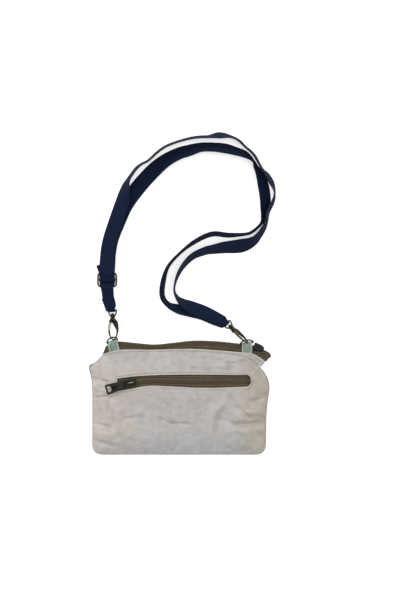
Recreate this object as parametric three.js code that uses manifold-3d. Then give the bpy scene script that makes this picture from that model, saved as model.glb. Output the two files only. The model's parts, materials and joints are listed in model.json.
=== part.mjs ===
// A small zip-top cotton bag lying on its back, its doubled webbing strap clipped to two rings.
// Millimetres: X runs to the bag's right, Y towards its top, Z up from the surface that it lies on.
// The origin is the middle of the back panel's resting face.
import * as THREE from 'three';
import { mergeVertices } from 'three/addons/utils/BufferGeometryUtils.js';
import Module from 'manifold-3d';

const wasm = await Module();
wasm.setup();

// Thicknesses and clearances
const GAP = 0.3;
const CANVAS = 1.4;
const HEM = 1.0;
const TAPE = 0.8;
const RIBBON = 0.8;
const WEBBING = 1.3;

// The pouch: a seam at the sides and bottom, a crowned front and a back that lies flat
const SEAM_HEIGHT = 4.2;
const CROWN = 12;
const CROWN_RUN = 38;
const BACK_RUN = 26;
const MOUTH_SHARE = 0.45;
const MOUTH_RUN = 45;
const SPINE_HALF = 62;
const SPINE_Y = 8;
const SPINE_STEP = 31;
const PANEL_RINGS = [0, 0.04, 0.12, 0.26, 0.46, 0.72];
const EDGE_STEP = 16;
const CORNER_STEPS = 3;

// Sewn edge from the left end of the mouth, round the bottom, to the right shoulder: x, y, corner trim
const SEAM_CORNERS = [
  [-99.4, 70.4, 0],
  [-107.6, 62, 5],
  [-117.5, 57, 4],
  [-112.2, 36, 12],
  [-112.2, -58, 14],
  [112.2, -58, 14],
  [113, 4, 20],
  [118, 31, 10],
  [113.5, 45, 8],
  [105, 55, 0],
];

// Free top edge, back from the right shoulder to the left end of the mouth: x, y, corner trim
const MOUTH_CORNERS = [
  [105, 55, 0],
  [92, 68, 11],
  [63, 73, 12],
  [14, 76.4, 24],
  [-37, 76, 20],
  [-76, 75, 11],
  [-99.4, 70.4, 0],
];

// Soft folds pressed into the front panel: from x, y to x, y, half width, rise
const FRONT_FOLDS = [
  [58, 19, 42, -39, 11, 1.5],
  [-35, -9, 2, -16, 10, -1.3],
  [80, 2, 112, -3, 10, -1.3],
  [78, -16, 112, -19, 10, 1.1],
  [-110, -7, -92, -4, 9, -1.2],
];

// Turned hem along the mouth: x and y of its upper edge, and its width
const HEM_EDGE = [
  [-99.4, 71.9, 1],
  [-92, 74, 1.9],
  [-83.4, 76.1, 4.8],
  [-76, 77.6, 6.5],
  [-61, 78.1, 6.5],
  [-38, 77.6, 6.5],
  [14, 78.8, 6.5],
  [50, 76.8, 6.5],
  [80, 74.4, 6.5],
  [94, 73, 7.4],
  [105.6, 67, 9.4],
  [111.6, 62.4, 8.4],
];
const HEM_LEVEL_START = -96;
const HEM_LEVEL_END = 94;
// Towards the right shoulder the hem's lower edge dips under the panel
const HEM_DROP = { start: 88, end: 112, depth: 2.4 };

// Top zip: x, lower edge of the front tape, apex where the closed chain runs
const TOP_ZIP = [
  [-99.5, 71.2, 75.9],
  [-96.5, 71.9, 80.3],
  [-93.5, 72.2, 84.7],
  [-91, 72.7, 88.2],
  [-86, 72, 88.2],
  [-79, 70.6, 87.9],
  [-68.6, 70.5, 87.2],
  [-55, 71, 85.8],
  [-31, 72, 84],
  [-5, 73, 86.5],
  [20, 74, 89],
  [50, 72, 88],
  [78, 67, 85],
  [93, 63.5, 83],
];
const CHAIN_WIDTH = 4.4;
const CHAIN_HEIGHT = 1.8;
const TOP_CHAIN_Z = 3.3;
const CHAIN_START = -89;
const CHAIN_END = { x: 99, apex: 82.4 };
const BACK_TAPE_REACH = 80;
const BACK_TAPE_DEPTH = 13;

// Sewn tail of the top zip, past the slider: x, lower edge, upper edge
const TAIL = [
  [95, 65, 75.8],
  [104, 62.4, 77],
  [110, 61.9, 77.2],
  [115.4, 64.8, 74.4],
  [118.6, 67.4, 69.4],
];
const TAIL_Z = 4.4;
const TAIL_THICKNESS = 1.6;

// Window of the pocket zip in the front panel: x, lower edge, upper edge
const WINDOW = [
  [-80, 24, 41.3],
  [-58, 28, 44],
  [-37, 31.2, 45.5],
  [-10, 30.3, 46.2],
  [30, 28.4, 46.4],
  [84, 29.6, 45.6],
];
const WINDOW_NOSE = 9;
const POCKET_TUCK = 5;
const POCKET_GAP = 0.8;
const POCKET_CHAIN_RISE = 0.9;

// Zip sliders and their flared pulls
const SLIDER_LENGTH = 14;
const SLIDER_WIDTH = 8.6;
const SLIDER_NOSE = 5.4;
const SLIDER_HEIGHT = 3;
const BRIDGE_WIRE = 0.8;
const BRIDGE_SPAN = 7;
const BRIDGE_RISE = 4;
const PULL_LENGTH = 33;
const PULL_NECK = 8.6;
const PULL_FLARE = 13.6;
const PULL_THICKNESS = 1.5;
const PULL_SLOT = 6.4;
const PULL_SLOT_WIDTH = 4;
const PULL_BAR = 1.8;
const PIVOT_RISE = 1.6;
const POCKET_SLIDER = { x: -61.5, turn: 10 };
const PULL_TURN = 17;
const PULL_DIP = 4.5;
const TOP_SLIDER = { x: 103, y: 80.6, z: 5.5, turn: -24 };
const TOP_PULL = { x: 108.6, y: 74.3, z: 1.5, turn: -5.6, length: 28 };

// Ring tabs, rings and swivel hooks
const TAB_WIDTH = 13;
const TAB_TUCK = 5;
const TAB_ROOM = 0.7;
const RING_WIRE = 0.95;
const RING_HALF = 8;
const RING_RISE = 6.3;
const HOOK_WIRE = 1.8;
const HOOK_TIP = 0.95;
const HOOK_DEPTH = 1.5;
const GATE_WIRE = 1.9;
const GATE_TIP = 1.4;
const GATE_DEPTH = 0.75;
const BAIL_WIRE = 0.9;
const BAIL_HALF = 5.2;
const BAIL_RISE = 7.5;
const POST_RADIUS = 1.2;
const COLLAR_RADIUS = 3.4;
const GATE_PIVOT = [-3, -7.4];
// Solid shoulder between a hook's post and its spine, in the hook's own x and y
const WEB_HALF = 1.3;
const HOOK_SHOULDER = [
  [-0.6, -5],
  [-0.6, -8.8],
  [0.8, -11.4],
  [4.6, -18.5],
  [5.9, -15],
  [4.6, -8.5],
  [2.6, -5],
];
const WIRE_SIDES = 8;

const SIDES = {
  left: {
    tab: { x: -82.4, y: 75.6, lean: 17 },
    ring: { at: [-86.3, 87.8, 9.4], yaw: 15, pitch: 28, roll: 34 },
    hook: { at: [-85.9, 121.4, 4.4], heading: -87, pitch: 12, roll: -20 },
  },
  right: {
    tab: { x: 87.8, y: 73.4, lean: 2 },
    ring: { at: [88, 85.8, 8.4], yaw: 10, pitch: 44, roll: -10 },
    hook: { at: [66.8, 107.2, 5.2], heading: -43, pitch: 18, roll: 71 },
  },
};

// Strap: a doubled band from the strap slider to the right hook. Columns: x, y, roll in degrees
// (outer edge down), lift of the lower edge above the floor, width
const BAND = 20;
const BAND_END = 7.6;
const STRAP_SLIDER = { x: -93, y: 168, z: 5, length: 20.4, width: 26, thickness: 1.6, bar: 2.4, rail: 2.2, corner: 6 };
const TURN_STEPS = 5;
const ROW_STEPS = 2;

// Sewn end of the band, from its free corner down to the slider's middle bar
const SEWN_END = [
  [-97.6, 189.3, -6, 3.9, BAND],
  [-95.2, 183, -5, 6.2, BAND],
  [-93.2, 177, 0, 7.8, BAND],
  [-93, 173.6, 0, 6.6, BAND],
  [-93, 171, 0, 3.9, BAND],
];

// Upper strand, on the outside of the loop
const UPPER_STRAND = [
  [-93, 170.6, 0, 7, BAND],
  [-93, 173.6, 0, 8.9, BAND],
  [-93, 177.5, 0, 10.2, BAND],
  [-92.7, 184, 0, 9.2, BAND],
  [-92.5, 190, 0, 7.4, BAND],
  [-91.5, 205, 3, 3, BAND],
  [-88, 223, 10, 1.9, BAND],
  [-80.5, 246, 14, 2.2, BAND],
  [-73.5, 268, 26, 1.4, BAND],
  [-69.4, 285, 50, 0.1, BAND],
  [-66.1, 295.9, 70, 0.1, BAND],
  [-60.3, 305.1, 74, 0.1, BAND],
  [-54.7, 312.3, 74, 0.1, BAND],
  [-48.4, 317.3, 78, 0.1, BAND],
  [-39.4, 322.1, 81, 0.1, BAND],
  [-28.7, 332, 82, 0.1, BAND],
  [-19, 339.1, 82, 0.1, BAND],
  [-9.5, 343.5, 82, 0.1, BAND],
  [3.4, 347.8, 82, 0.1, BAND],
  [16.5, 351, 81, 0.1, BAND],
  [26.9, 352.3, 79, 0.1, BAND],
  [38.7, 352.7, 73, 0.1, BAND],
  [52.5, 354.5, 61, 0.1, BAND],
  [68, 352.3, 75, 0.1, BAND],
  [78, 347.2, 80, 0.1, BAND],
  [85.3, 340, 82, 0.1, BAND],
  [97, 329, 80, 0.1, BAND],
  [106.7, 312, 78, 0.1, BAND],
  [114, 303.3, 70, 0.1, BAND],
  [119.5, 293.1, 67, 0.1, BAND],
  [123.4, 281, 82, 0.1, BAND],
  [121.5, 269.5, 77, 0.1, BAND],
  [114.9, 255, 76, 0.1, BAND],
  [112.6, 242.5, 76, 0.1, BAND],
  [108.8, 233.6, 70, 0.1, BAND],
  [102.9, 224.9, 66, 0.1, BAND],
  [95, 217.5, 54, 0.1, BAND],
  [80, 212, 32, 0.1, BAND],
  [59, 209.8, 44, 0.1, BAND],
  [42, 207, 57, 0.1, BAND],
  [33, 205, 61, 0.1, BAND],
  [16, 197, 68, 0.1, BAND],
  [1, 179, 77, 0.1, BAND],
  [-6, 158, 86, 0.1, BAND],
  [-3, 146, 78, 0.1, BAND],
  [5, 138, 58, 0.1, BAND],
  [16, 132.5, 36, 1, 19.4],
  [31, 126.4, 22, 2.3, 18.6],
  [46, 118.8, 9, 3, 17.4],
  [57.6, 113.2, 0, 4.2, 15.4],
];

// Lower strand, on the inside of the loop, from below the slider's far bar
const LOWER_STRAND = [
  [-93, 158.6, 0, 6.4, 16.5],
  [-93, 161.6, 0, 5.5, 19],
  [-93, 165, 0, 1.8, BAND],
  [-93, 168, 0, 0.3, BAND],
  [-93, 171, 0, 1.6, BAND],
  [-93, 174.4, 0, 5.1, BAND],
  [-93, 177.6, 0, 6.2, BAND],
  [-92.7, 184, 0, 3.6, BAND],
  [-92.5, 190, 0, 1.6, BAND],
  [-91.5, 205, 0, 0.1, BAND],
  [-87.5, 223, 6, 0.1, BAND],
  [-79.5, 243, 6, 0.1, BAND],
  [-69.5, 265, 3, 0.1, BAND],
  [-54, 286.5, 2, 0.1, BAND],
  [-35.3, 307.3, 8, 0.1, BAND],
  [-17.8, 322, 26, 0.1, BAND],
  [-0.5, 331.1, 34, 0.1, BAND],
  [12.7, 335, 38, 0.1, BAND],
  [28.3, 339.1, 48, 0.1, BAND],
  [44, 339.3, 49, 0.1, BAND],
  [58.8, 337.8, 46, 0.1, BAND],
  [72, 334.3, 52, 0.1, BAND],
  [84.6, 330, 58, 0.1, BAND],
  [95.9, 321.2, 76, 0.1, BAND],
  [99.6, 313, 68, 0.1, BAND],
  [104.6, 304, 54, 0.1, BAND],
  [108.6, 290.8, 43, 0.1, BAND],
  [111.3, 273.9, 43, 0.1, BAND],
  [110.8, 262, 52, 0.1, BAND],
  [109.4, 249, 66, 0.1, BAND],
  [105.4, 239.6, 80, 0.1, BAND],
  [94.9, 230.2, 81, 0.1, BAND],
  [85.5, 226.8, 82, 0.1, BAND],
  [64, 225.5, 75, 0.1, BAND],
  [43, 227, 74, 0.1, BAND],
  [22, 218, 76, 0.1, BAND],
  [2, 203, 82, 0.1, BAND],
  [-14, 185, 80, 0.1, BAND],
  [-20.5, 165, 73, 0.1, BAND],
  [-21.5, 147, 72, 0.1, BAND],
  [-14, 136, 70, 0.1, BAND],
  [0, 130, 52, 0.1, BAND],
  [15, 128, 34, 0.1, 19.4],
  [31, 124.4, 22, 0.1, 18.6],
  [46, 117.9, 9, 0.1, 17.4],
  [57.6, 112.9, 0, 0.5, 15.4],
];

// From the slider's far bar to the left hook, and the end folded back under it
const LEFT_RUN = [
  [-92.4, 153.5, 0, 4.6, 15.6],
  [-91.8, 146, 0, 3.2, 15],
  [-90, 138.5, 0, 3.2, 15.2],
  [-88.2, 131.2, 0, 3.8, 14.4],
];
const FOLDED_END = [
  [-88.2, 131.2, 0, 0.2, 14.4],
  [-90.8, 138.5, 0, 0.1, 14.8],
  [-93.8, 146.2, 0, 0.1, 14.8],
];

// Colours, roughness and metalness
const cotton = { color: 0xc9c3bd, roughness: 0.95, metalness: 0 };
const brownTape = { color: 0x574a3a, roughness: 0.85, metalness: 0 };
const brownCoil = { color: 0x4a3f30, roughness: 0.6, metalness: 0 };
const sage = { color: 0x93a89c, roughness: 0.85, metalness: 0 };
const navy = { color: 0x1a2438, roughness: 0.9, metalness: 0 };
const gunmetal = { color: 0x2b2b2a, roughness: 0.4, metalness: 0.9 };
const antiqueBrass = { color: 0x4a4336, roughness: 0.38, metalness: 0.95 };

const UP = new THREE.Vector3(0, 0, 1);
const radians = THREE.MathUtils.degToRad;
const point = (x, y, z) => new THREE.Vector3(x, y, z);

const bag = new THREE.Group();

function addPiece(parent, name, geometry, look) {
  const mesh = new THREE.Mesh(geometry, new THREE.MeshStandardMaterial(look));
  mesh.name = name;
  parent.add(mesh);
  return mesh;
}

// Closed meshes to solids and back, for joining and cutting
function toSolid(geometry) {
  const bare = geometry.clone();
  bare.deleteAttribute('normal');
  bare.deleteAttribute('uv');
  const merged = mergeVertices(bare, 1e-4);
  const vertProperties = new Float32Array(merged.attributes.position.array);
  const triVerts = new Uint32Array(merged.index.array);
  return new wasm.Manifold(new wasm.Mesh({ numProp: 3, vertProperties, triVerts }));
}

function toGeometry(solid) {
  const mesh = solid.getMesh();
  const geometry = new THREE.BufferGeometry();
  geometry.setAttribute('position', new THREE.BufferAttribute(new Float32Array(mesh.vertProperties), 3));
  geometry.setIndex(new THREE.BufferAttribute(new Uint32Array(mesh.triVerts), 1));
  return geometry;
}

function joined(...geometries) {
  return toGeometry(geometries.map(toSolid).reduce((whole, next) => whole.add(next)));
}

// A closed surface from points and triangles, turned to face outwards by the sign of its volume
function closedSurface(points, triangles) {
  let volume = 0;
  for (const [a, b, c] of triangles) {
    volume += points[a].dot(points[b].clone().cross(points[c]));
  }
  const outward = volume < 0 ? triangles.map(([a, b, c]) => [a, c, b]) : triangles;
  const geometry = new THREE.BufferGeometry().setFromPoints(points);
  geometry.setIndex(outward.flat());
  return geometry;
}

// A skin over a row of rings that all have the same even number of points, its ends closed by strips
function loft(rings, closed = false) {
  const count = rings[0].length;
  const triangles = [];
  const quad = (a, b, c, d) => triangles.push([a, b, c], [a, c, d]);
  rings.forEach((ring, i) => {
    if (i === rings.length - 1 && !closed) {
      return;
    }
    const here = i * count;
    const next = ((i + 1) % rings.length) * count;
    for (let j = 0; j < count; j++) {
      const k = (j + 1) % count;
      quad(here + j, here + k, next + k, next + j);
    }
  });
  if (!closed) {
    const last = (rings.length - 1) * count;
    for (let j = 0; j < count / 2 - 1; j++) {
      const far = count - 1 - j;
      quad(far, far - 1, j + 1, j);
      quad(last + j, last + j + 1, last + far - 1, last + far);
    }
  }
  return closedSurface(rings.flat(), triangles);
}

// The travel direction at each station of a path
function tangents(places, closed = false) {
  const last = places.length - 1;
  return places.map((place, i) => {
    const before = i > 0 ? places[i - 1] : places[closed ? last : 0];
    const after = i < last ? places[i + 1] : places[closed ? 0 : last];
    return after.clone().sub(before).normalize();
  });
}

// A flat band along stations that each give its middle, the direction across it and its width
function band(stations, thickness) {
  const along = tangents(stations.map((station) => station.at));
  const rings = stations.map(({ at, across, width }, i) => {
    const normal = along[i].clone().cross(across).normalize();
    const side = normal.clone().cross(along[i]).normalize();
    const corner = (u, v) => at.clone().addScaledVector(side, u * width).addScaledVector(normal, v * thickness);
    return [corner(-0.5, 0.5), corner(0.5, 0.5), corner(0.5, -0.5), corner(-0.5, -0.5)];
  });
  return loft(rings);
}

// A wire along a flat path, square to the given plane normal. Over its first half its radius runs from girth to
// tip, and its depth along the normal runs from the given share of the radius to round
function wire(places, planeNormal, girth, { closed = false, tip = girth, depth = 1 } = {}) {
  const along = tangents(places, closed);
  const rings = places.map((at, i) => {
    const sideways = along[i].clone().cross(planeNormal).normalize();
    const share = Math.min(1, (2 * i) / places.length);
    const radius = THREE.MathUtils.lerp(girth, tip, share);
    const deep = radius * THREE.MathUtils.lerp(depth, 1, share);
    return Array.from({ length: WIRE_SIDES }, (_, k) => {
      const angle = (k / WIRE_SIDES) * 2 * Math.PI;
      return at
        .clone()
        .addScaledVector(sideways, Math.cos(angle) * radius)
        .addScaledVector(planeNormal, Math.sin(angle) * deep);
    });
  });
  return loft(rings, closed);
}

function smoothPlaces(places, count, closed = false) {
  const curve = new THREE.CatmullRomCurve3(places, closed, 'centripetal');
  const samples = curve.getPoints(count);
  return closed ? samples.slice(0, -1) : samples;
}

// Rows of a table read as smooth curves, with a few steps between rows
function smoothRows(rows, steps) {
  const places = rows.map(([x, y, z]) => point(x, y, z));
  return new THREE.CatmullRomCurve3(places, false, 'centripetal').getPoints((rows.length - 1) * steps);
}

// An open path through corners, each rounded back by its trim, with long edges divided
function roundedPath(corners) {
  const places = corners.map(([x, y]) => new THREE.Vector2(x, y));
  const path = [places[0]];
  const walkTo = (target) => {
    const start = path[path.length - 1];
    const pieces = Math.max(1, Math.round(start.distanceTo(target) / EDGE_STEP));
    for (let i = 1; i <= pieces; i++) {
      path.push(start.clone().lerp(target, i / pieces));
    }
  };
  for (let i = 1; i < corners.length - 1; i++) {
    const trim = corners[i][2];
    const entry = places[i].clone().add(places[i - 1].clone().sub(places[i]).setLength(trim));
    const exit = places[i].clone().add(places[i + 1].clone().sub(places[i]).setLength(trim));
    walkTo(entry);
    path.push(...new THREE.QuadraticBezierCurve(entry, places[i], exit).getPoints(CORNER_STEPS).slice(1));
  }
  walkTo(places[places.length - 1]);
  return path;
}

const seamLine = roundedPath(SEAM_CORNERS);
const mouthLine = roundedPath(MOUTH_CORNERS);
const panelOutline = [...seamLine, ...mouthLine.slice(1, -1)];

function distanceTo(line, x, y) {
  let nearest = Infinity;
  for (let i = 1; i < line.length; i++) {
    const start = line[i - 1];
    const run = line[i].clone().sub(start);
    const offset = new THREE.Vector2(x, y).sub(start);
    const share = THREE.MathUtils.clamp(offset.dot(run) / run.lengthSq(), 0, 1);
    nearest = Math.min(nearest, offset.addScaledVector(run, -share).length());
  }
  return nearest;
}

// A quarter ellipse: steep at the seam, level where the run ends
const bulge = (share) => Math.sqrt(1 - (1 - Math.min(share, 1)) ** 2);

function foldRise(x, y) {
  return FRONT_FOLDS.reduce((sum, [x0, y0, x1, y1, half, rise]) => {
    const fold = [new THREE.Vector2(x0, y0), new THREE.Vector2(x1, y1)];
    return sum + rise * Math.exp(-((distanceTo(fold, x, y) / half) ** 2));
  }, 0);
}

// Outer face of the front panel: crowned from the seam, lower towards the mouth
function frontTop(x, y) {
  const rise = bulge(distanceTo(seamLine, x, y) / CROWN_RUN);
  const fromMouth = THREE.MathUtils.smoothstep(distanceTo(mouthLine, x, y), 0, MOUTH_RUN);
  const share = MOUTH_SHARE + (1 - MOUTH_SHARE) * fromMouth;
  return SEAM_HEIGHT + GAP / 2 + CANVAS + rise * (CROWN * share + foldRise(x, y));
}

// Resting face of the back panel: flat on the floor, drawn up to the seam
function backBottom(x, y) {
  return (SEAM_HEIGHT - GAP / 2 - CANVAS) * (1 - bulge(distanceTo(seamLine, x, y) / BACK_RUN));
}

// A cloth panel over the bag's outline, on rings that shrink from its edge to stations on a spine
function clothPanel(topFace) {
  const count = panelOutline.length;
  const stationOf = ({ x }) => Math.round((THREE.MathUtils.clamp(x, -SPINE_HALF, SPINE_HALF) + SPINE_HALF) / SPINE_STEP);
  const stationX = (i) => i * SPINE_STEP - SPINE_HALF;
  const spineAt = (i) => new THREE.Vector2(stationX(i), SPINE_Y);
  const rings = PANEL_RINGS.map((share) => panelOutline.map((edge) => edge.clone().lerp(spineAt(stationOf(edge)), share)));
  const spine = Array.from({ length: (2 * SPINE_HALF) / SPINE_STEP + 1 }, (_, i) => spineAt(i));
  const flat = [...rings.flat(), ...spine];
  const place = (ring, j) => ring * count + (ring < rings.length ? j : stationOf(panelOutline[j]));
  const top = flat.map((p) => point(p.x, p.y, topFace(p.x, p.y)));
  const under = top.map((p) => p.clone().setZ(p.z - CANVAS));
  const face = [];
  rings.forEach((_, ring) => {
    for (let j = 0; j < count; j++) {
      const k = (j + 1) % count;
      face.push([place(ring, j), place(ring, k), place(ring + 1, k)]);
      if (place(ring + 1, j) !== place(ring + 1, k)) {
        face.push([place(ring, j), place(ring + 1, k), place(ring + 1, j)]);
      }
    }
  });
  const triangles = [...face, ...face.map(([a, b, c]) => [a + flat.length, c + flat.length, b + flat.length])];
  for (let j = 0; j < count; j++) {
    const k = (j + 1) % count;
    triangles.push([k, j, j + flat.length], [k, j + flat.length, k + flat.length]);
  }
  return closedSurface([...top, ...under], triangles);
}

// The pocket window as a prism that cuts the front panel
function windowPrism() {
  const rows = smoothRows(WINDOW, 2);
  const end = rows[rows.length - 1];
  const middle = (end.y + end.z) / 2;
  const shape = new THREE.Shape();
  rows.forEach((row, i) => (i === 0 ? shape.moveTo(row.x, row.y) : shape.lineTo(row.x, row.y)));
  shape.bezierCurveTo(end.x + WINDOW_NOSE * 0.8, end.y, end.x + WINDOW_NOSE, middle - 4, end.x + WINDOW_NOSE, middle);
  shape.bezierCurveTo(end.x + WINDOW_NOSE, middle + 4, end.x + WINDOW_NOSE * 0.8, end.z, end.x, end.z);
  rows.toReversed().slice(1).forEach((row) => shape.lineTo(row.x, row.z));
  return new THREE.ExtrudeGeometry(shape, { depth: 60, bevelEnabled: false, curveSegments: 4 });
}

const frontCloth = toSolid(clothPanel(frontTop)).subtract(toSolid(windowPrism()));
addPiece(bag, 'front_panel', toGeometry(frontCloth), cotton);
addPiece(bag, 'back_panel', clothPanel((x, y) => backBottom(x, y) + CANVAS), cotton);

// Height of the front panel's inner face along the mouth
function mouthY(x) {
  const i = mouthLine.findIndex((p) => p.x <= x);
  const [right, left] = [mouthLine[Math.max(i, 1) - 1], mouthLine[Math.max(i, 1)]];
  return THREE.MathUtils.mapLinear(x, left.x, right.x, left.y, right.y);
}

function hemTop(x) {
  const inside = THREE.MathUtils.clamp(x, HEM_LEVEL_START, HEM_LEVEL_END);
  return frontTop(inside, mouthY(inside)) - CANVAS - 2 * GAP;
}

// Top face of the zip tape under the hem, with room between them for a folded ribbon
const tapeTop = (x) => hemTop(x) - HEM - 2 * RIBBON - 3 * GAP - TAB_ROOM;

function hemStrip() {
  const rows = smoothRows(HEM_EDGE, 3);
  const edge = rows.map(({ x, y }) => point(x, y, 0));
  const along = tangents(edge);
  const stations = edge.map((place, i) => {
    const width = rows[i].z;
    const drop = HEM_DROP.depth * THREE.MathUtils.smoothstep(place.x, HEM_DROP.start, HEM_DROP.end);
    const across = UP.clone().cross(along[i]).setZ(drop / width);
    const at = place.clone().addScaledVector(across, -width / 2);
    at.z += hemTop(place.x) - HEM / 2;
    return { at, across, width };
  });
  return band(stations, HEM);
}

addPiece(bag, 'front_hem', hemStrip(), cotton);

// A strip of tape from its lower edge to its upper edge at each row: x, low y, low z, high y, high z
function tapeStrip(rows, thickness) {
  const half = thickness / 2;
  return loft(
    rows.map(([x, lowY, lowZ, highY, highZ]) => [
      point(x, lowY, lowZ + half),
      point(x, (lowY + highY) / 2, (lowZ + highZ) / 2 + half),
      point(x, highY, highZ + half),
      point(x, highY, highZ - half),
      point(x, (lowY + highY) / 2, (lowZ + highZ) / 2 - half),
      point(x, lowY, lowZ - half),
    ]),
  );
}

function topZip() {
  const rows = smoothRows(TOP_ZIP, 2);
  const chainSeat = CHAIN_WIDTH + GAP;
  const front = rows.map(({ x, y: low, z: apex }) => {
    const lowZ = tapeTop(x) - TAPE / 2;
    return [x, low, lowZ, apex - chainSeat, Math.min(lowZ, TOP_CHAIN_Z + GAP)];
  });
  const back = rows
    .filter(({ x }) => Math.abs(x) < BACK_TAPE_REACH)
    .map(({ x, z: apex }) => {
      const low = apex - BACK_TAPE_DEPTH;
      const lowZ = backBottom(x, low) + CANVAS + GAP + TAPE / 2;
      return [x, low, lowZ, apex - chainSeat, TOP_CHAIN_Z - TAPE - GAP];
    });
  const chainRows = [...rows.filter(({ x }) => x > CHAIN_START), point(CHAIN_END.x, 0, CHAIN_END.apex)];
  const chain = chainRows.map(({ x, z: apex }) => [x, apex - CHAIN_WIDTH, TOP_CHAIN_Z, apex, TOP_CHAIN_Z]);
  addPiece(bag, 'top_zip_front_tape', tapeStrip(front, TAPE), brownTape);
  addPiece(bag, 'top_zip_back_tape', tapeStrip(back, TAPE), brownTape);
  addPiece(bag, 'top_zip_chain', tapeStrip(chain, CHAIN_HEIGHT), brownCoil);
  const tail = smoothRows(TAIL, 3).map(({ x, y: low, z: high }) => [x, low, TAIL_Z, high, TAIL_Z]);
  addPiece(bag, 'top_zip_tail', tapeStrip(tail, TAIL_THICKNESS), brownTape);
}

topZip();

// Tapes under the window's edges and the closed chain between them
function pocketZip() {
  const under = (x, y) => frontTop(x, y) - CANVAS - POCKET_GAP - TAPE / 2;
  const strip = (x, low, high) => [x, low, under(x, low), high, under(x, high)];
  const rows = smoothRows(WINDOW, 3);
  const end = rows[rows.length - 1];
  const closing = point(end.x + WINDOW_NOSE - 1, end.y, end.z);
  const all = [...rows, closing];
  const seat = CHAIN_WIDTH / 2 + GAP;
  const middle = (row) => (row.y + row.z) / 2;
  const lower = all.map((row) => strip(row.x, row.y - POCKET_TUCK, middle(row) - seat));
  const upper = all.map((row) => strip(row.x, middle(row) + seat, row.z + POCKET_TUCK));
  const chain = all.map((row) => {
    const z = under(row.x, middle(row)) + POCKET_CHAIN_RISE;
    return [row.x, middle(row) - CHAIN_WIDTH / 2, z, middle(row) + CHAIN_WIDTH / 2, z];
  });
  addPiece(bag, 'pocket_zip_lower_tape', tapeStrip(lower, TAPE), brownTape);
  addPiece(bag, 'pocket_zip_upper_tape', tapeStrip(upper, TAPE), brownTape);
  addPiece(bag, 'pocket_zip_chain', tapeStrip(chain, CHAIN_HEIGHT), brownCoil);
  const nearest = chain.reduce((best, row) =>
    Math.abs(row[0] - POCKET_SLIDER.x) < Math.abs(best[0] - POCKET_SLIDER.x) ? row : best,
  );
  return point(POCKET_SLIDER.x, (nearest[1] + nearest[3]) / 2, nearest[2] + CHAIN_HEIGHT / 2 + GAP);
}

// Zip slider: a tapered body with a bridge along it, its seat at z = 0
function sliderGeometry() {
  const half = SLIDER_LENGTH / 2;
  const shape = new THREE.Shape();
  shape.moveTo(-half, -SLIDER_WIDTH / 2);
  shape.lineTo(half * 0.3, -SLIDER_WIDTH / 2);
  shape.quadraticCurveTo(half, -SLIDER_NOSE / 2, half, 0);
  shape.quadraticCurveTo(half, SLIDER_NOSE / 2, half * 0.3, SLIDER_WIDTH / 2);
  shape.lineTo(-half, SLIDER_WIDTH / 2);
  shape.closePath();
  const body = new THREE.ExtrudeGeometry(shape, { depth: SLIDER_HEIGHT, bevelEnabled: false, curveSegments: 4 });
  const span = BRIDGE_SPAN / 2;
  const arch = smoothPlaces(
    [
      point(-span, 0, SLIDER_HEIGHT - 1),
      point(-span, 0, SLIDER_HEIGHT + BRIDGE_RISE * 0.6),
      point(0, 0, SLIDER_HEIGHT + BRIDGE_RISE),
      point(span, 0, SLIDER_HEIGHT + BRIDGE_RISE * 0.6),
      point(span, 0, SLIDER_HEIGHT - 1),
    ],
    9,
  );
  return joined(body, wire(arch, point(0, 1, 0), BRIDGE_WIRE));
}

// Flared pull along -X from its pivot bar at the origin, with a slot for the bridge and a D hole
function pullGeometry(length) {
  const start = PULL_BAR / 2;
  const outline = new THREE.Shape();
  outline.moveTo(start, -PULL_NECK / 2);
  outline.lineTo(start, PULL_NECK / 2);
  outline.lineTo(-PULL_SLOT - PULL_BAR, PULL_NECK / 2);
  outline.quadraticCurveTo(-length * 0.55, PULL_FLARE * 0.43, -length, PULL_FLARE / 2);
  outline.quadraticCurveTo(-length - 1.2, 0, -length, -PULL_FLARE / 2);
  outline.quadraticCurveTo(-length * 0.55, -PULL_FLARE * 0.43, -PULL_SLOT - PULL_BAR, -PULL_NECK / 2);
  outline.closePath();
  const slot = new THREE.Path();
  slot.moveTo(-start, -PULL_SLOT_WIDTH / 2);
  slot.lineTo(-start - PULL_SLOT, -PULL_SLOT_WIDTH / 2);
  slot.lineTo(-start - PULL_SLOT, PULL_SLOT_WIDTH / 2);
  slot.lineTo(-start, PULL_SLOT_WIDTH / 2);
  slot.closePath();
  const eye = new THREE.Path();
  eye.moveTo(-length + 2, -PULL_FLARE * 0.3);
  eye.bezierCurveTo(-length + 7.5, -PULL_FLARE * 0.3, -length + 7.5, PULL_FLARE * 0.3, -length + 2, PULL_FLARE * 0.3);
  eye.closePath();
  outline.holes.push(slot, eye);
  const plate = new THREE.ExtrudeGeometry(outline, { depth: PULL_THICKNESS, bevelEnabled: false, curveSegments: 5 });
  return plate.translate(0, 0, -PULL_THICKNESS / 2);
}

const pocketSeat = pocketZip();
const pocketSlider = addPiece(bag, 'pocket_zip_slider', sliderGeometry(), gunmetal);
pocketSlider.position.copy(pocketSeat);
pocketSlider.rotation.z = radians(POCKET_SLIDER.turn);
const pocketPull = addPiece(bag, 'pocket_zip_pull', pullGeometry(PULL_LENGTH), gunmetal);
pocketPull.position.copy(pocketSeat).setZ(pocketSeat.z + SLIDER_HEIGHT + PIVOT_RISE);
pocketPull.rotation.set(0, radians(-PULL_DIP), radians(PULL_TURN), 'ZYX');

const topSlider = addPiece(bag, 'top_zip_slider', sliderGeometry(), gunmetal);
topSlider.position.set(TOP_SLIDER.x, TOP_SLIDER.y, TOP_SLIDER.z);
topSlider.rotation.z = radians(TOP_SLIDER.turn);
const topPull = addPiece(bag, 'top_zip_pull', pullGeometry(TOP_PULL.length), gunmetal);
topPull.position.set(TOP_PULL.x, TOP_PULL.y, TOP_PULL.z);
topPull.rotation.z = radians(TOP_PULL.turn);

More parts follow.
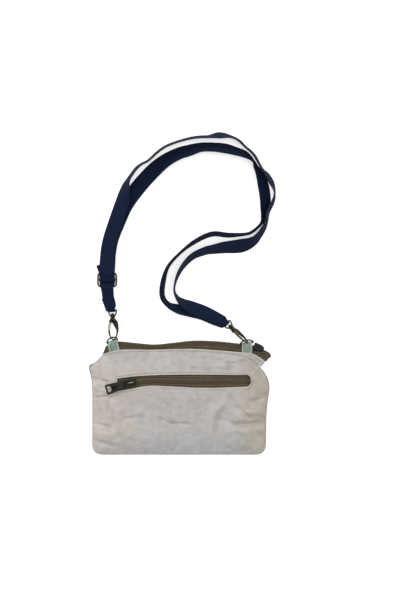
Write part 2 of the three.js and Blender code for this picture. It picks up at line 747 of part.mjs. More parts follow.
// D ring in its own plane: the bar lies on X through the origin, the bow rises along Y
function ringGeometry() {
  const bow = Array.from({ length: 9 }, (_, i) => {
    const angle = (i / 8) * Math.PI;
    return point(RING_HALF * Math.cos(angle), 1.2 + (RING_RISE - 1.2) * Math.sin(angle), 0);
  });
  const bar = [-0.75, -0.3, 0.3, 0.75].map((share) => point(share * RING_HALF, 0, 0));
  return wire(smoothPlaces([...bow, ...bar], 24, true), UP, RING_WIRE, { closed: true });
}

// Ribbon folded round the ring's bar, both layers tucked under the hem
function tabGeometry(tab, ring) {
  const bar = point(...ring.at);
  const turned = new THREE.Euler(radians(ring.pitch), radians(ring.roll), radians(ring.yaw), 'ZYX');
  const barAcross = point(-1, 0, 0).applyEuler(turned);
  const slope = (hemTop(tab.x + 6) - hemTop(tab.x - 6)) / 12;
  const hemAcross = point(-1, 0, -slope).normalize().applyAxisAngle(UP, radians(tab.lean));
  const level = tapeTop(tab.x) + GAP + RIBBON / 2;
  const step = RIBBON + GAP;
  const foot = point(tab.x, tab.y - TAB_TUCK, level);
  const rise = bar.clone().sub(foot);
  rise.addScaledVector(barAcross, -rise.dot(barAcross)).normalize();
  const out = rise.clone().cross(barAcross);
  const radius = RING_WIRE + GAP + RIBBON / 2;
  const clear = (TAB_TUCK + 1) / (bar.y - foot.y);
  const leg = (share, layer) => {
    const top = bar.clone().addScaledVector(out, layer * radius);
    const base = foot.clone().setZ(level + (layer > 0 ? step : 0));
    const eased = THREE.MathUtils.smoothstep(share, 0, 1);
    const at = base.clone().lerp(top, share);
    at.z = THREE.MathUtils.lerp(base.z, top.z, THREE.MathUtils.smoothstep(share, clear, 1));
    return { at, across: hemAcross.clone().lerp(barAcross, eased ** 2).normalize(), width: TAB_WIDTH };
  };
  const shares = [0, 0.3, 0.5, 0.65, 0.8, 0.92];
  const up = shares.map((share) => leg(share, 1));
  const over = Array.from({ length: TURN_STEPS + 1 }, (_, i) => {
    const angle = (i / TURN_STEPS) * Math.PI;
    const at = bar
      .clone()
      .addScaledVector(out, radius * Math.cos(angle))
      .addScaledVector(rise, radius * Math.sin(angle));
    return { at, across: barAcross, width: TAB_WIDTH };
  });
  const down = shares.toReversed().map((share) => leg(share, -1));
  return band([...up, ...over, ...down], RIBBON);
}

// Swivel hook in its own frame: the swivel axis is Y, the bail up, the eye down, the spine on +X
function bailGeometry() {
  const legs = [
    point(2.2, -0.4, 0),
    point(BAIL_HALF - 0.9, 2.6, 0),
    point(BAIL_HALF - 0.3, 5.2, 0),
    point(BAIL_HALF, 6.6, 0),
    point(BAIL_HALF - 1.1, BAIL_RISE, 0),
    point(3, BAIL_RISE, 0),
  ];
  const path = [...legs, ...legs.toReversed().map((p) => point(-p.x, p.y, p.z))];
  const bow = wire(smoothPlaces(path, 20), UP, BAIL_WIRE);
  const bore = POST_RADIUS + GAP;
  const collar = new THREE.LatheGeometry(
    [
      new THREE.Vector2(bore, -2.2),
      new THREE.Vector2(COLLAR_RADIUS, -1.8),
      new THREE.Vector2(COLLAR_RADIUS, 0.9),
      new THREE.Vector2(bore, 1.3),
      new THREE.Vector2(bore, -2.2),
    ],
    12,
  );
  const boreSpace = new THREE.CylinderGeometry(bore, bore, 12, 12);
  const whole = toSolid(bow).add(toSolid(collar)).subtract(toSolid(boreSpace));
  return toGeometry(whole);
}

function hookGeometry() {
  const spine = smoothPlaces(
    [
      point(0.6, -4.6, 0),
      point(4.6, -8.5, 0),
      point(5.9, -15, 0),
      point(5.5, -22.8, 0),
      point(3, -29.2, 0),
      point(0, -31.3, 0),
      point(-3, -29.2, 0),
      point(-5.3, -24.6, 0),
      point(-5.8, -19.8, 0),
    ],
    18,
  );
  const profile = [
    [0, -6.4],
    [2, -6.4],
    [2.9, -5.2],
    [2.9, -3],
    [POST_RADIUS, -2.5],
    [POST_RADIUS, 1.6],
    [2.2, 1.6],
    [1.8, 2.9],
    [0, 3.2],
  ];
  const post = new THREE.LatheGeometry(profile.map(([r, y]) => new THREE.Vector2(r, y)), 12);
  const ears = [-1, 1].map((side) => {
    const ear = new THREE.BoxGeometry(4.2, 5, 0.9);
    return ear.translate(GATE_PIVOT[0] + 0.8, GATE_PIVOT[1] + 1.5, side * 2.3);
  });
  const shoulder = new THREE.Shape(HOOK_SHOULDER.map(([x, y]) => new THREE.Vector2(x, y)));
  const web = new THREE.ExtrudeGeometry(shoulder, { depth: 2 * WEB_HALF, bevelEnabled: false });
  web.translate(0, 0, -WEB_HALF);
  return joined(wire(spine, UP, HOOK_WIRE, { tip: HOOK_TIP, depth: HOOK_DEPTH }), post, web, ...ears);
}

// Sprung gate from its knuckle between the ears to just above the hook's tip
function gateGeometry() {
  const [x, y] = GATE_PIVOT;
  const places = smoothPlaces([point(x, y, 0), point(-4.9, -12, 0), point(-5.8, -17.7, 0)], 6);
  const knuckle = new THREE.CylinderGeometry(1.3, 1.3, 2.6, 10).rotateX(Math.PI / 2).translate(x, y, 0);
  return joined(wire(places, UP, GATE_WIRE, { tip: GATE_TIP, depth: GATE_DEPTH }), knuckle);
}

// Axes of a hook: its eye points along heading and pitch, then it is rolled about its own length
function hookTurn({ heading, pitch, roll }) {
  const [h, p] = [radians(heading), radians(pitch)];
  const length = point(-Math.cos(h) * Math.cos(p), -Math.sin(h) * Math.cos(p), -Math.sin(p));
  const sideways = length.clone().cross(UP).normalize();
  const basis = new THREE.Matrix4().makeBasis(sideways, length, sideways.clone().cross(length));
  const rolled = new THREE.Quaternion().setFromAxisAngle(point(0, 1, 0), radians(roll));
  return new THREE.Quaternion().setFromRotationMatrix(basis).multiply(rolled);
}

for (const [side, { tab, ring, hook }] of Object.entries(SIDES)) {
  addPiece(bag, `${side}_tab`, tabGeometry(tab, ring), sage);
  const ringPiece = addPiece(bag, `${side}_ring`, ringGeometry(), gunmetal);
  ringPiece.position.set(...ring.at);
  ringPiece.rotation.set(radians(ring.pitch), radians(ring.roll), radians(ring.yaw), 'ZYX');
  const bail = addPiece(bag, `${side}_hook_bail`, bailGeometry(), antiqueBrass);
  bail.position.set(...hook.at);
  bail.quaternion.copy(hookTurn({ ...hook, roll: 0 }));
  const eye = new THREE.Group();
  eye.position.set(...hook.at);
  eye.quaternion.copy(hookTurn(hook));
  addPiece(eye, `${side}_hook_body`, hookGeometry(), antiqueBrass);
  addPiece(eye, `${side}_hook_gate`, gateGeometry(), antiqueBrass);
  bag.add(eye);
}

// Strap slider: a plate with a middle bar between two slots
function strapSliderGeometry() {
  const { length, width, thickness, bar, rail, corner } = STRAP_SLIDER;
  const [x, y, r] = [width / 2, length / 2, corner];
  const plate = new THREE.Shape();
  plate.moveTo(-x + r, -y);
  plate.lineTo(x - r, -y);
  plate.quadraticCurveTo(x, -y, x, -y + r);
  plate.lineTo(x, y - r);
  plate.quadraticCurveTo(x, y, x - r, y);
  plate.lineTo(-x + r, y);
  plate.quadraticCurveTo(-x, y, -x, y - r);
  plate.lineTo(-x, -y + r);
  plate.quadraticCurveTo(-x, -y, -x + r, -y);
  for (const [low, high] of [[bar / 2, y - bar], [-y + bar, -bar / 2]]) {
    const slot = new THREE.Path();
    slot.moveTo(-x + rail, low);
    slot.lineTo(-x + rail, high);
    slot.lineTo(x - rail, high);
    slot.lineTo(x - rail, low);
    slot.closePath();
    plate.holes.push(slot);
  }
  const geometry = new THREE.ExtrudeGeometry(plate, { depth: thickness, bevelEnabled: false, curveSegments: 3 });
  return geometry.translate(STRAP_SLIDER.x, STRAP_SLIDER.y, STRAP_SLIDER.z - thickness / 2);
}

addPiece(bag, 'strap_slider', strapSliderGeometry(), antiqueBrass);

// Stations of the band along a table; facing is 1 where the outer edge is left of travel, else -1
function strapRun(rows, facing) {
  const steps = (rows.length - 1) * ROW_STEPS;
  const route = new THREE.CatmullRomCurve3(rows.map(([x, y]) => point(x, y, 0)), false, 'catmullrom', 0.5);
  const form = new THREE.CatmullRomCurve3(rows.map(([, , roll, lift, width]) => point(roll, lift, width)), false, 'catmullrom', 0.4);
  const places = route.getPoints(steps);
  const along = tangents(places);
  return places.map((place, i) => {
    const { x: roll, y: lift, z: width } = form.getPoint(i / steps);
    const [cos, sin] = [Math.cos(radians(roll)), Math.sin(radians(roll))];
    const outward = UP.clone().cross(along[i]).multiplyScalar(facing);
    const across = outward.multiplyScalar(cos).addScaledVector(UP, -sin);
    const at = place.clone().setZ(lift + (width / 2) * Math.abs(sin) + (WEBBING / 2) * cos);
    return { at, across, width };
  });
}

// Half turn of the band round a bar, from one face to the other
function strapTurn(centre, barRadius, towards, startUp, across, width) {
  const radius = barRadius + GAP + WEBBING / 2;
  return Array.from({ length: TURN_STEPS + 1 }, (_, i) => {
    const angle = (i / TURN_STEPS) * Math.PI;
    const at = centre
      .clone()
      .addScaledVector(UP, startUp * radius * Math.cos(angle))
      .addScaledVector(towards, radius * Math.sin(angle));
    return { at, across, width };
  });
}

// Turn round a hook's bail, square to the hook in plan
function bailTurn({ at, heading, pitch, roll }) {
  const length = point(0, 1, 0).applyQuaternion(hookTurn({ heading, pitch, roll }));
  const bar = point(...at).addScaledVector(length, BAIL_RISE);
  const towards = point(Math.cos(radians(heading)), Math.sin(radians(heading)), 0);
  return { bar, towards };
}

function strapGeometry() {
  const middleBar = point(STRAP_SLIDER.x, STRAP_SLIDER.y, STRAP_SLIDER.z);
  const downwards = point(0, -1, 0);
  const leftwards = point(-1, 0, 0);
  const right = bailTurn(SIDES.right.hook);
  const left = bailTurn(SIDES.left.hook);
  const rightAcross = UP.clone().cross(right.towards);
  const leftAcross = UP.clone().cross(left.towards).negate();
  return band(
    [
      ...strapRun(SEWN_END, -1),
      ...strapTurn(middleBar, STRAP_SLIDER.bar / 2 + GAP, downwards, -1, leftwards, BAND),
      ...strapRun(UPPER_STRAND, 1),
      ...strapTurn(right.bar, BAIL_WIRE, right.towards, 1, rightAcross, BAND_END),
      ...strapRun(LOWER_STRAND.toReversed(), -1),
      ...strapRun(LEFT_RUN, -1),
      ...strapTurn(left.bar, BAIL_WIRE, left.towards, 1, leftAcross, BAND_END),
      ...strapRun(FOLDED_END, 1),
    ],
    WEBBING,
  );
}

addPiece(bag, 'strap', strapGeometry(), navy);

export default bag;
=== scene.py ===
# %% [markdown]
# # A cotton messenger bag, laid flat
# A small zip-top bag of pale cotton lies on its back, and its navy strap lies in a loose loop above
# it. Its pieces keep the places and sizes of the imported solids, and the hooks and the pocket pull read
# theirs from the joints. This lesson dresses the solids: cloth with folds and stitches, woven webbing,
# zips with real coils, and aged metal fittings.

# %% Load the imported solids
import json
import bpy
import numpy as np
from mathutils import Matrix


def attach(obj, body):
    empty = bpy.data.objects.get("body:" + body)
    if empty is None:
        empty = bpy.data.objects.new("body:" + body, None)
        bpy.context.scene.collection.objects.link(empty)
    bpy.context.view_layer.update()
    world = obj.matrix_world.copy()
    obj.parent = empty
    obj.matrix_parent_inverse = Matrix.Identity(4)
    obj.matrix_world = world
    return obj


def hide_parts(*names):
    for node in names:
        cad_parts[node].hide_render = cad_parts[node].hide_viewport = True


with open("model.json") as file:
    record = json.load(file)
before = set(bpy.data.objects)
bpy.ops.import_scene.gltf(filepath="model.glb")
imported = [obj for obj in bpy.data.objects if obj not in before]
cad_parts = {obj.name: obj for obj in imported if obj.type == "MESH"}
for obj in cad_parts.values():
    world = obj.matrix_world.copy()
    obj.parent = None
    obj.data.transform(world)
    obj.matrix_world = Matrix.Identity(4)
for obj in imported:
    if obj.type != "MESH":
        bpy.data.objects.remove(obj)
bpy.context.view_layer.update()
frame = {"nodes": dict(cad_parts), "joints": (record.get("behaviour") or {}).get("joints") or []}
JOINTS = {joint["name"]: joint for joint in frame["joints"]}
print("nodes:", len(frame["nodes"]), "joints:", sorted(JOINTS))

# %% [markdown]
# ## The view
# The bag was photographed from straight above. A long lens from two metres up keeps the sides of
# things hidden, as in the picture. Sizes are written in millimetres and turned into metres where a
# mesh or a camera needs them. One pixel of the picture is 1.29 mm, set by the 20 mm webbing.

# %% Camera over the middle of the picture
MM = 0.001
PIXEL = 1.29
PICTURE_WIDTH, PICTURE_HEIGHT = 401, 601
ORIGIN_PIXEL = (179, 410)
CAMERA_HEIGHT = 2000
CLOTH_LEVEL = 10
SENSOR = 24
FAR_CLIP = 50

camera = bpy.data.objects.new("camera", bpy.data.cameras.new("camera"))
bpy.context.scene.collection.objects.link(camera)
camera.location = (
    (PICTURE_WIDTH / 2 - ORIGIN_PIXEL[0]) * PIXEL * MM,
    (ORIGIN_PIXEL[1] - PICTURE_HEIGHT / 2) * PIXEL * MM,
    CAMERA_HEIGHT * MM,
)
camera.data.sensor_fit = "VERTICAL"
camera.data.sensor_height = SENSOR
camera.data.lens = SENSOR * (CAMERA_HEIGHT - CLOTH_LEVEL) / (PICTURE_HEIGHT * PIXEL)
camera.data.clip_end = FAR_CLIP
bpy.context.scene.camera = camera
print("camera at", tuple(round(v, 3) for v in camera.location), "lens", round(camera.data.lens, 1))

# %% [markdown]
# ## Floor and light
# The picture has a plain white ground and soft, even light that comes mostly from above, a little
# stronger from the top of the picture, so folds darken on their lower side. A bright surround and two
# large lamps give that.

# %% Floor, lamps and surround
FLOOR_SIZE = 6.0
FLOOR_DROP = 0.0003
FLOOR_GLOW = 0.45
SURROUND = 0.52
LAMPS = [
    # name, place, aim, size, power
    ("overhead_lamp", (0.1, 0.3, 3.2), (0.03, 0.14, 0), 2.6, 45),
    ("top_lamp", (-0.8, 2.1, 1.4), (0.0, 0.05, 0), 0.8, 25),
]


def add_lamp(name, place, aim, size, power):
    """A square area lamp at a place, turned so that its -Z axis points at aim."""
    data = bpy.data.lights.new(name, "AREA")
    data.size = size
    data.energy = power
    lamp = bpy.data.objects.new(name, data)
    bpy.context.scene.collection.objects.link(lamp)
    lamp.location = place
    way = lamp.location.copy()
    way -= type(way)(aim)
    lamp.rotation_euler = way.to_track_quat("Z", "Y").to_euler()


for lamp_row in LAMPS:
    add_lamp(*lamp_row)

floor_mesh = bpy.data.meshes.new("floor")
half = FLOOR_SIZE / 2
floor_mesh.from_pydata(
    [(x * half, y * half, -FLOOR_DROP) for x, y in ((-1, -1), (1, -1), (1, 1), (-1, 1))],
    [],
    [(0, 1, 2, 3)],
)
floor = bpy.data.objects.new("floor", floor_mesh)
bpy.context.scene.collection.objects.link(floor)

world = bpy.data.worlds.new("surround")
world.use_nodes = True
world.node_tree.nodes["Background"].inputs["Color"].default_value = (1, 1, 1, 1)
world.node_tree.nodes["Background"].inputs["Strength"].default_value = SURROUND
bpy.context.scene.world = world
bpy.context.scene.view_settings.view_transform = "Standard"

# %% [markdown]
# ## Helpers for finishes
# Every finish is a small node tree. A helper that adds a node and joins its inputs keeps each tree
# short enough to read. Colours are measured as screen values, so they are first made linear.

# %% Node helpers


def linear(red, green, blue):
    """Screen colour from 0 to 255 as the linear colour that a shader mixes."""
    share = np.array([red, green, blue]) / 255
    low, high = share / 12.92, ((share + 0.055) / 1.055) ** 2.4
    return (*np.where(share <= 0.04045, low, high), 1.0)


def add_node(tree, kind, inputs=(), **settings):
    """A node with its settings made, and each input either joined to a socket or given a value."""
    made = tree.nodes.new(kind)
    for key, value in settings.items():
        setattr(made, key, value)
    for key, value in dict(inputs).items():
        if isinstance(value, bpy.types.NodeSocket):
            tree.links.new(value, made.inputs[key])
        else:
            made.inputs[key].default_value = value
    return made


def new_finish(name, roughness, metallic=0.0, sheen=0.0):
    """A material with its tree and its main shader, ready for colour and bump."""
    material = bpy.data.materials.new(name)
    material.use_nodes = True
    shader = material.node_tree.nodes["Principled BSDF"]
    shader.inputs["Roughness"].default_value = roughness
    shader.inputs["Metallic"].default_value = metallic
    shader.inputs["Sheen Weight"].default_value = sheen
    return material, material.node_tree, shader


def noise(tree, vector, scale, detail=4.0):
    """Soft noise of a given scale, read at a vector."""
    inputs = {"Vector": vector, "Scale": scale, "Detail": detail}
    return add_node(tree, "ShaderNodeTexNoise", inputs).outputs["Fac"]


def stretched_noise(tree, vector, scales, detail=4.0):
    """Soft noise with a scale of its own along each axis."""
    stretched = add_node(tree, "ShaderNodeMapping", {"Vector": vector, "Scale": scales}).outputs["Vector"]
    return noise(tree, stretched, 1.0, detail)


def bands(tree, vector, direction, period, distortion=0.0):
    """Stripes of a sine wave along one axis, with their period in metres."""
    scale = 2 * np.pi / (20 * period)
    inputs = {"Vector": vector, "Scale": scale, "Distortion": distortion}
    return add_node(tree, "ShaderNodeTexWave", inputs, bands_direction=direction).outputs["Fac"]


def arithmetic(tree, operation, a, b):
    """One sum, product or other operation on two values."""
    return add_node(tree, "ShaderNodeMath", {0: a, 1: b}, operation=operation).outputs[0]


def weighted(tree, *terms, base=0.0):
    """A base plus a sum of values, each times its own weight."""
    for value, weight in terms:
        inputs = {0: value, 1: weight, 2: base}
        base = add_node(tree, "ShaderNodeMath", inputs, operation="MULTIPLY_ADD").outputs[0]
    return base


def mixed(tree, share, a, b, blend="MIX"):
    """Two colours mixed by a share."""
    made = add_node(tree, "ShaderNodeMix", data_type="RGBA", blend_type=blend)
    for key, value in (("Factor_Float", share), ("A_Color", a), ("B_Color", b)):
        socket = next(s for s in made.inputs if s.identifier == key)
        if isinstance(value, bpy.types.NodeSocket):
            tree.links.new(value, socket)
        else:
            socket.default_value = value
    return next(s for s in made.outputs if s.identifier == "Result_Color")


def add_bump(tree, shader, height, distance, strength=1.0):
    """Fine relief on the shader's normal, with its depth in metres."""
    inputs = {"Height": height, "Distance": distance, "Strength": strength}
    tree.links.new(add_node(tree, "ShaderNodeBump", inputs).outputs["Normal"], shader.inputs["Normal"])


def object_place(tree):
    return add_node(tree, "ShaderNodeTexCoord").outputs["Object"]


def surface_place(tree):
    return add_node(tree, "ShaderNodeUVMap", uv_map="UVMap").outputs["UV"]


def own_value(tree, name):
    return add_node(tree, "ShaderNodeAttribute", attribute_name=name).outputs["Fac"]


floor_finish, _, floor_shader = new_finish("white_ground", 0.9)
floor_shader.inputs["Base Color"].default_value = (0.93, 0.93, 0.93, 1)
floor_shader.inputs["Emission Color"].default_value = (1, 1, 1, 1)
floor_shader.inputs["Emission Strength"].default_value = FLOOR_GLOW
floor_mesh.materials.append(floor_finish)
print("finish:", floor_finish.name)

# %% [markdown]
# ## Cotton
# The cloth is a plain weave, washed and a little uneven: pinkish cream towards the edges, cooler grey
# in the middle. Each vertex carries a tone value for that, so the drift belongs to the bag and not to
# the camera. The same value turns the cloth grey along the bottom and the mouth, which is painted shade,
# and a beige value makes the right side yellower and darker, a beige tint with painted shade. Turned
# edges are paler, where the dye has rubbed thin. A seam value paints shade as dark lines along the seam,
# under the mouth's edge, just outside the window and at the curled corner. The weave is two sets of fine
# stripes, with slubs and crinkles from stretched noise; the crinkles also darken the colour in their
# hollows, painted shade.

# %% Cotton finish
CREAM = linear(189, 181, 174)
# Cool grey of the middle, also used as painted shade along the bottom and the mouth
COOL_GREY = linear(175, 174, 174)
# Yellower, darker colour for the right side: a beige tint with painted shade
BEIGE_AND_SHADE = linear(176, 168, 155)
RUBBED_EDGE = linear(206, 202, 196)
# Painted shade for dark lines along seams, under the mouth's edge, by the window and at the curled corner
PAINTED_SEAM_SHADE = linear(80, 74, 70)
THREAD_PITCH = 0.0009
THREAD_WANDER = 1.2


def cotton_finish():
    material, tree, shader = new_finish("pale_cotton", 0.95, sheen=0.05)
    shader.inputs["Specular IOR Level"].default_value = 0.2
    place = object_place(tree)
    warp, weft = (bands(tree, place, axis, THREAD_PITCH, THREAD_WANDER) for axis in "XY")
    weave = arithmetic(tree, "MULTIPLY", warp, weft)
    slub = stretched_noise(tree, place, (160, 600, 160))
    crinkle = stretched_noise(tree, place, (110, 130, 110), 6)
    mottle = noise(tree, place, 45, 6)
    drift = weighted(tree, (own_value(tree, "tone_and_shade"), 1.0), (mottle, 1.0), base=-0.5)
    colour = mixed(tree, drift, CREAM, COOL_GREY)
    # beige mixes in a tint with painted shade, edge the paler rubbed edge, seam the painted shade lines
    for value, tint in (("beige_and_shade", BEIGE_AND_SHADE), ("edge", RUBBED_EDGE), ("seam", PAINTED_SEAM_SHADE)):
        colour = mixed(tree, own_value(tree, value), colour, tint)
    # The crinkle term darkens the colour in the crinkles' hollows: painted shade
    shade = weighted(tree, (weave, 0.1), (slub, 0.2), (crinkle, 0.5), (mottle, 0.3), base=0.47)
    tree.links.new(mixed(tree, 1.0, colour, shade, "MULTIPLY"), shader.inputs["Base Color"])
    relief = weighted(tree, (weave, 1.0), (slub, 1.5), (crinkle, 10.0))
    add_bump(tree, shader, relief, 0.00012)
    return material


COTTON = cotton_finish()
print("finish:", COTTON.name)

# %% [markdown]
# ## Webbing, tape and ribbon
# Three narrow weaves. The strap's webbing has a close chevron rib, so two slanted sets of stripes
# meet along its middle. Zip tape is finely ribbed along its length, which the mesh itself carries, so
# its finish adds the cross threads and darkens the grooves between the ribs, painted shade. Ribbon has
# pale selvedges. All three read the piece's own UV map, with the length of the piece in metres along U
# and its width along V. Zip coils and sewing threads are too fine for a weave and have two tones only.

# %% Woven finishes
NAVY = linear(10, 17, 34), linear(27, 42, 72)
BROWN = linear(78, 68, 53), linear(116, 102, 80)
# Painted shade in the grooves between the tape's ribs
GROOVE_SHADE = linear(34, 29, 23)
SAGE = linear(122, 142, 132), linear(166, 184, 173)
SELVEDGE = linear(184, 198, 187)
WEBBING_MIDDLE = 0.01
CHEVRON_SLANT = 0.9
CHEVRON_PITCH = 0.0019
CORD_PITCH = 0.0013
TAPE_PITCH = 0.0008
RIBBON_PITCH = 0.0007


def webbing_finish():
    material, tree, shader = new_finish("navy_webbing", 0.92)
    shader.inputs["Specular IOR Level"].default_value = 0.12
    place = surface_place(tree)
    parts = add_node(tree, "ShaderNodeSeparateXYZ", {"Vector": place})
    along, across = parts.outputs["X"], parts.outputs["Y"]
    off_middle = arithmetic(tree, "ABSOLUTE", arithmetic(tree, "SUBTRACT", across, WEBBING_MIDDLE), 0.0)
    slanted = weighted(tree, (along, 1.0), (off_middle, CHEVRON_SLANT))
    chevron = add_node(tree, "ShaderNodeCombineXYZ", {"X": slanted, "Y": across}).outputs[0]
    rib = bands(tree, chevron, "X", CHEVRON_PITCH)
    cord = bands(tree, place, "Y", CORD_PITCH)
    fuzz = noise(tree, object_place(tree), 700, 3)
    weave = arithmetic(tree, "MULTIPLY", rib, weighted(tree, (cord, 0.5), base=0.5))
    share = weighted(tree, (weave, 0.55), (fuzz, 0.35))
    tree.links.new(mixed(tree, share, *NAVY), shader.inputs["Base Color"])
    add_bump(tree, shader, weighted(tree, (weave, 1.0), (fuzz, 0.4)), 0.00035)
    return material


def tape_finish():
    material, tree, shader = new_finish("brown_tape", 0.88)
    shader.inputs["Specular IOR Level"].default_value = 0.2
    threads = bands(tree, surface_place(tree), "X", TAPE_PITCH)
    patch = noise(tree, object_place(tree), 120, 4)
    share = weighted(tree, (threads, 0.25), (patch, 0.7))
    # The grooves between ribs are darkened: painted shade
    colour = mixed(tree, own_value(tree, "groove_shade"), mixed(tree, share, *BROWN), GROOVE_SHADE)
    tree.links.new(colour, shader.inputs["Base Color"])
    add_bump(tree, shader, threads, 0.0001)
    return material


def ribbon_finish():
    material, tree, shader = new_finish("sage_ribbon", 0.8, sheen=0.15)
    ribs = bands(tree, surface_place(tree), "X", RIBBON_PITCH)
    patch = noise(tree, object_place(tree), 260, 4)
    share = weighted(tree, (ribs, 0.3), (patch, 0.6))
    colour = mixed(tree, own_value(tree, "edge"), mixed(tree, share, *SAGE), SELVEDGE)
    tree.links.new(colour, shader.inputs["Base Color"])
    add_bump(tree, shader, ribs, 0.00012)
    return material


def yarn_finish(name, dark, pale, roughness, scale, detail):
    """Coil or thread: two tones mixed by fine noise, which is also its slight relief."""
    material, tree, shader = new_finish(name, roughness)
    twist = noise(tree, object_place(tree), scale, detail)
    tree.links.new(mixed(tree, twist, linear(*dark), linear(*pale)), shader.inputs["Base Color"])
    add_bump(tree, shader, twist, 0.00005)
    return material


WEBBING_FINISH = webbing_finish()
TAPE_FINISH = tape_finish()
RIBBON_FINISH = ribbon_finish()
COIL_FINISH = yarn_finish("brown_coil", (56, 48, 36), (98, 86, 66), 0.5, 300, 3)
COTTON_THREAD = yarn_finish("cotton_thread", (150, 144, 138), (196, 188, 180), 0.75, 900, 2)
SAGE_THREAD = yarn_finish("sage_thread", (58, 76, 70), (88, 108, 100), 0.75, 900, 2)
print("woven finishes:", WEBBING_FINISH.name, TAPE_FINISH.name, COIL_FINISH.name, RIBBON_FINISH.name)

# %% [markdown]
# ## Metal
# The hooks and the strap slider are brass that was darkened to look old; the zip pulls and rings are
# a grey-black gunmetal. Both are rubbed unevenly, so colour and roughness drift together with two
# scales of noise. A highlight value paints a pale streak on the top of the pocket slider's bridge and
# along one side of each gate: painted highlight.

# %% Metal finishes
# Pale colour for painted highlights
PAINTED_METAL_HIGHLIGHT = linear(172, 165, 140)


def metal_finish(name, dark, pale, roughness):
    material, tree, shader = new_finish(name, roughness, metallic=1.0)
    place = object_place(tree)
    patch = noise(tree, place, 160, 5)
    grain = noise(tree, place, 1400, 2)
    share = weighted(tree, (patch, 0.8), (grain, 0.2))
    worn = mixed(tree, share, linear(*dark), linear(*pale))
    # Painted highlight: the highlight value mixes in a pale colour
    worn = mixed(tree, own_value(tree, "highlight"), worn, PAINTED_METAL_HIGHLIGHT)
    tree.links.new(worn, shader.inputs["Base Color"])
    tree.links.new(weighted(tree, (share, 0.3), base=roughness - 0.15), shader.inputs["Roughness"])
    add_bump(tree, shader, grain, 0.00004)
    return material


GUNMETAL = metal_finish("dark_gunmetal", (19, 20, 19), (51, 51, 47), 0.36)
AGED_BRASS = metal_finish("aged_brass", (28, 26, 20), (72, 67, 53), 0.34)
print("metal finishes:", GUNMETAL.name, AGED_BRASS.name)

# %% [markdown]
# ## Helpers for shapes
# A piece is a grid of points: rings round a section, carried along a path. One function numbers the
# quads of such a grid and closes its ends with strips, and one turns points in millimetres into a mesh
# that faces outwards and rides on its body.

# %% Grid and mesh helpers


def unit(vectors):
    return vectors / np.linalg.norm(vectors, axis=-1, keepdims=True)


def xyz(x, y, z):
    """Points from three coordinates, any of which may be one number for all."""
    return np.stack(np.broadcast_arrays(x, y, z), axis=-1)


def round_angles(count):
    """Even angles round a full turn."""
    return np.arange(count) * 2 * np.pi / count


def bell(off, width):
    """Bell curve: 1 at the middle, 1/e where off is the width."""
    return np.exp(-((off / width) ** 2))


def smooth(share):
    """Smooth step from 0 to 1."""
    share = np.clip(share, 0, 1)
    return share * share * (3 - 2 * share)


def ramp(value, start, end):
    """Smooth step from 0 where a value is at start to 1 where it is at end."""
    return smooth((value - start) / (end - start))


def skin(rows, columns, loop=False):
    """Quads from ring to ring. A loop of rings meets itself, and an open row of rings gets strip caps."""
    r, c = np.meshgrid(np.arange(rows if loop else rows - 1), np.arange(columns), indexing="ij")
    r2, c2 = (r + 1) % rows, (c + 1) % columns
    corners = [r * columns + c, r * columns + c2, r2 * columns + c2, r2 * columns + c]
    sides = np.stack(corners, axis=-1).reshape(-1, 4)
    if loop:
        return sides
    j = np.arange(columns // 2 - 1)
    cap = np.stack([j, j + 1, columns - 2 - j, columns - 1 - j], axis=1)
    return np.concatenate([sides, cap[:, ::-1], cap + (rows - 1) * columns])


def merged(*parts):
    """Several closed skins as one list of points and one list of quads."""
    starts = np.cumsum([0] + [len(points) for points, _ in parts[:-1]])
    points = np.concatenate([points for points, _ in parts])
    return points, np.concatenate([quads + start for (_, quads), start in zip(parts, starts)])


def outward(points, quads):
    """The quads, turned round if the volume that they close counts as negative."""
    a, b, c, d = (points[quads[:, k]] for k in range(4))
    volume = (a * (np.cross(b, c) + np.cross(c, d))).sum()
    return quads[:, ::-1] if volume < 0 else quads


def make_piece(name, points, quads, finish, slot, body="root", nodes=(), uv=None, values=None, sharp=None):
    """A smooth mesh in metres from points in millimetres, with its UV map, its own values and its body."""
    points = np.asarray(points, float).reshape(-1, 3)
    quads = outward(points, quads)
    mesh = bpy.data.meshes.new(name)
    mesh.from_pydata((points * MM).tolist(), [], quads.tolist())
    mesh.polygons.foreach_set("use_smooth", np.ones(len(quads), bool))
    if uv is not None:
        layer = mesh.uv_layers.new(name="UVMap")
        layer.data.foreach_set("uv", np.asarray(uv, np.float32).reshape(-1, 2)[quads.ravel()].ravel())
    for key, value in (values or {}).items():
        attribute = mesh.attributes.new(key, "FLOAT", "POINT")
        attribute.data.foreach_set("value", np.asarray(value, np.float32).ravel())
    if sharp is not None:
        mesh.set_sharp_from_angle(angle=np.radians(sharp))
    mesh.materials.append(finish)
    mesh.validate()
    piece = bpy.data.objects.new(name, mesh)
    bpy.context.scene.collection.objects.link(piece)
    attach(piece, body)
    if nodes:
        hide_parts(*nodes)
    print(f"{name}: {len(points)} points, {len(quads)} quads")
    return piece


print("grid helpers ready")

# %% [markdown]
# ## Helpers for paths
# Listed rows become smooth curves with the Catmull-Rom formula: between two rows the curve is a
# cubic whose slope at each row follows its two neighbours. Paths are walked at even steps, bands and
# rods are carried along them, and short threads are laid on them.

# %% Path helpers


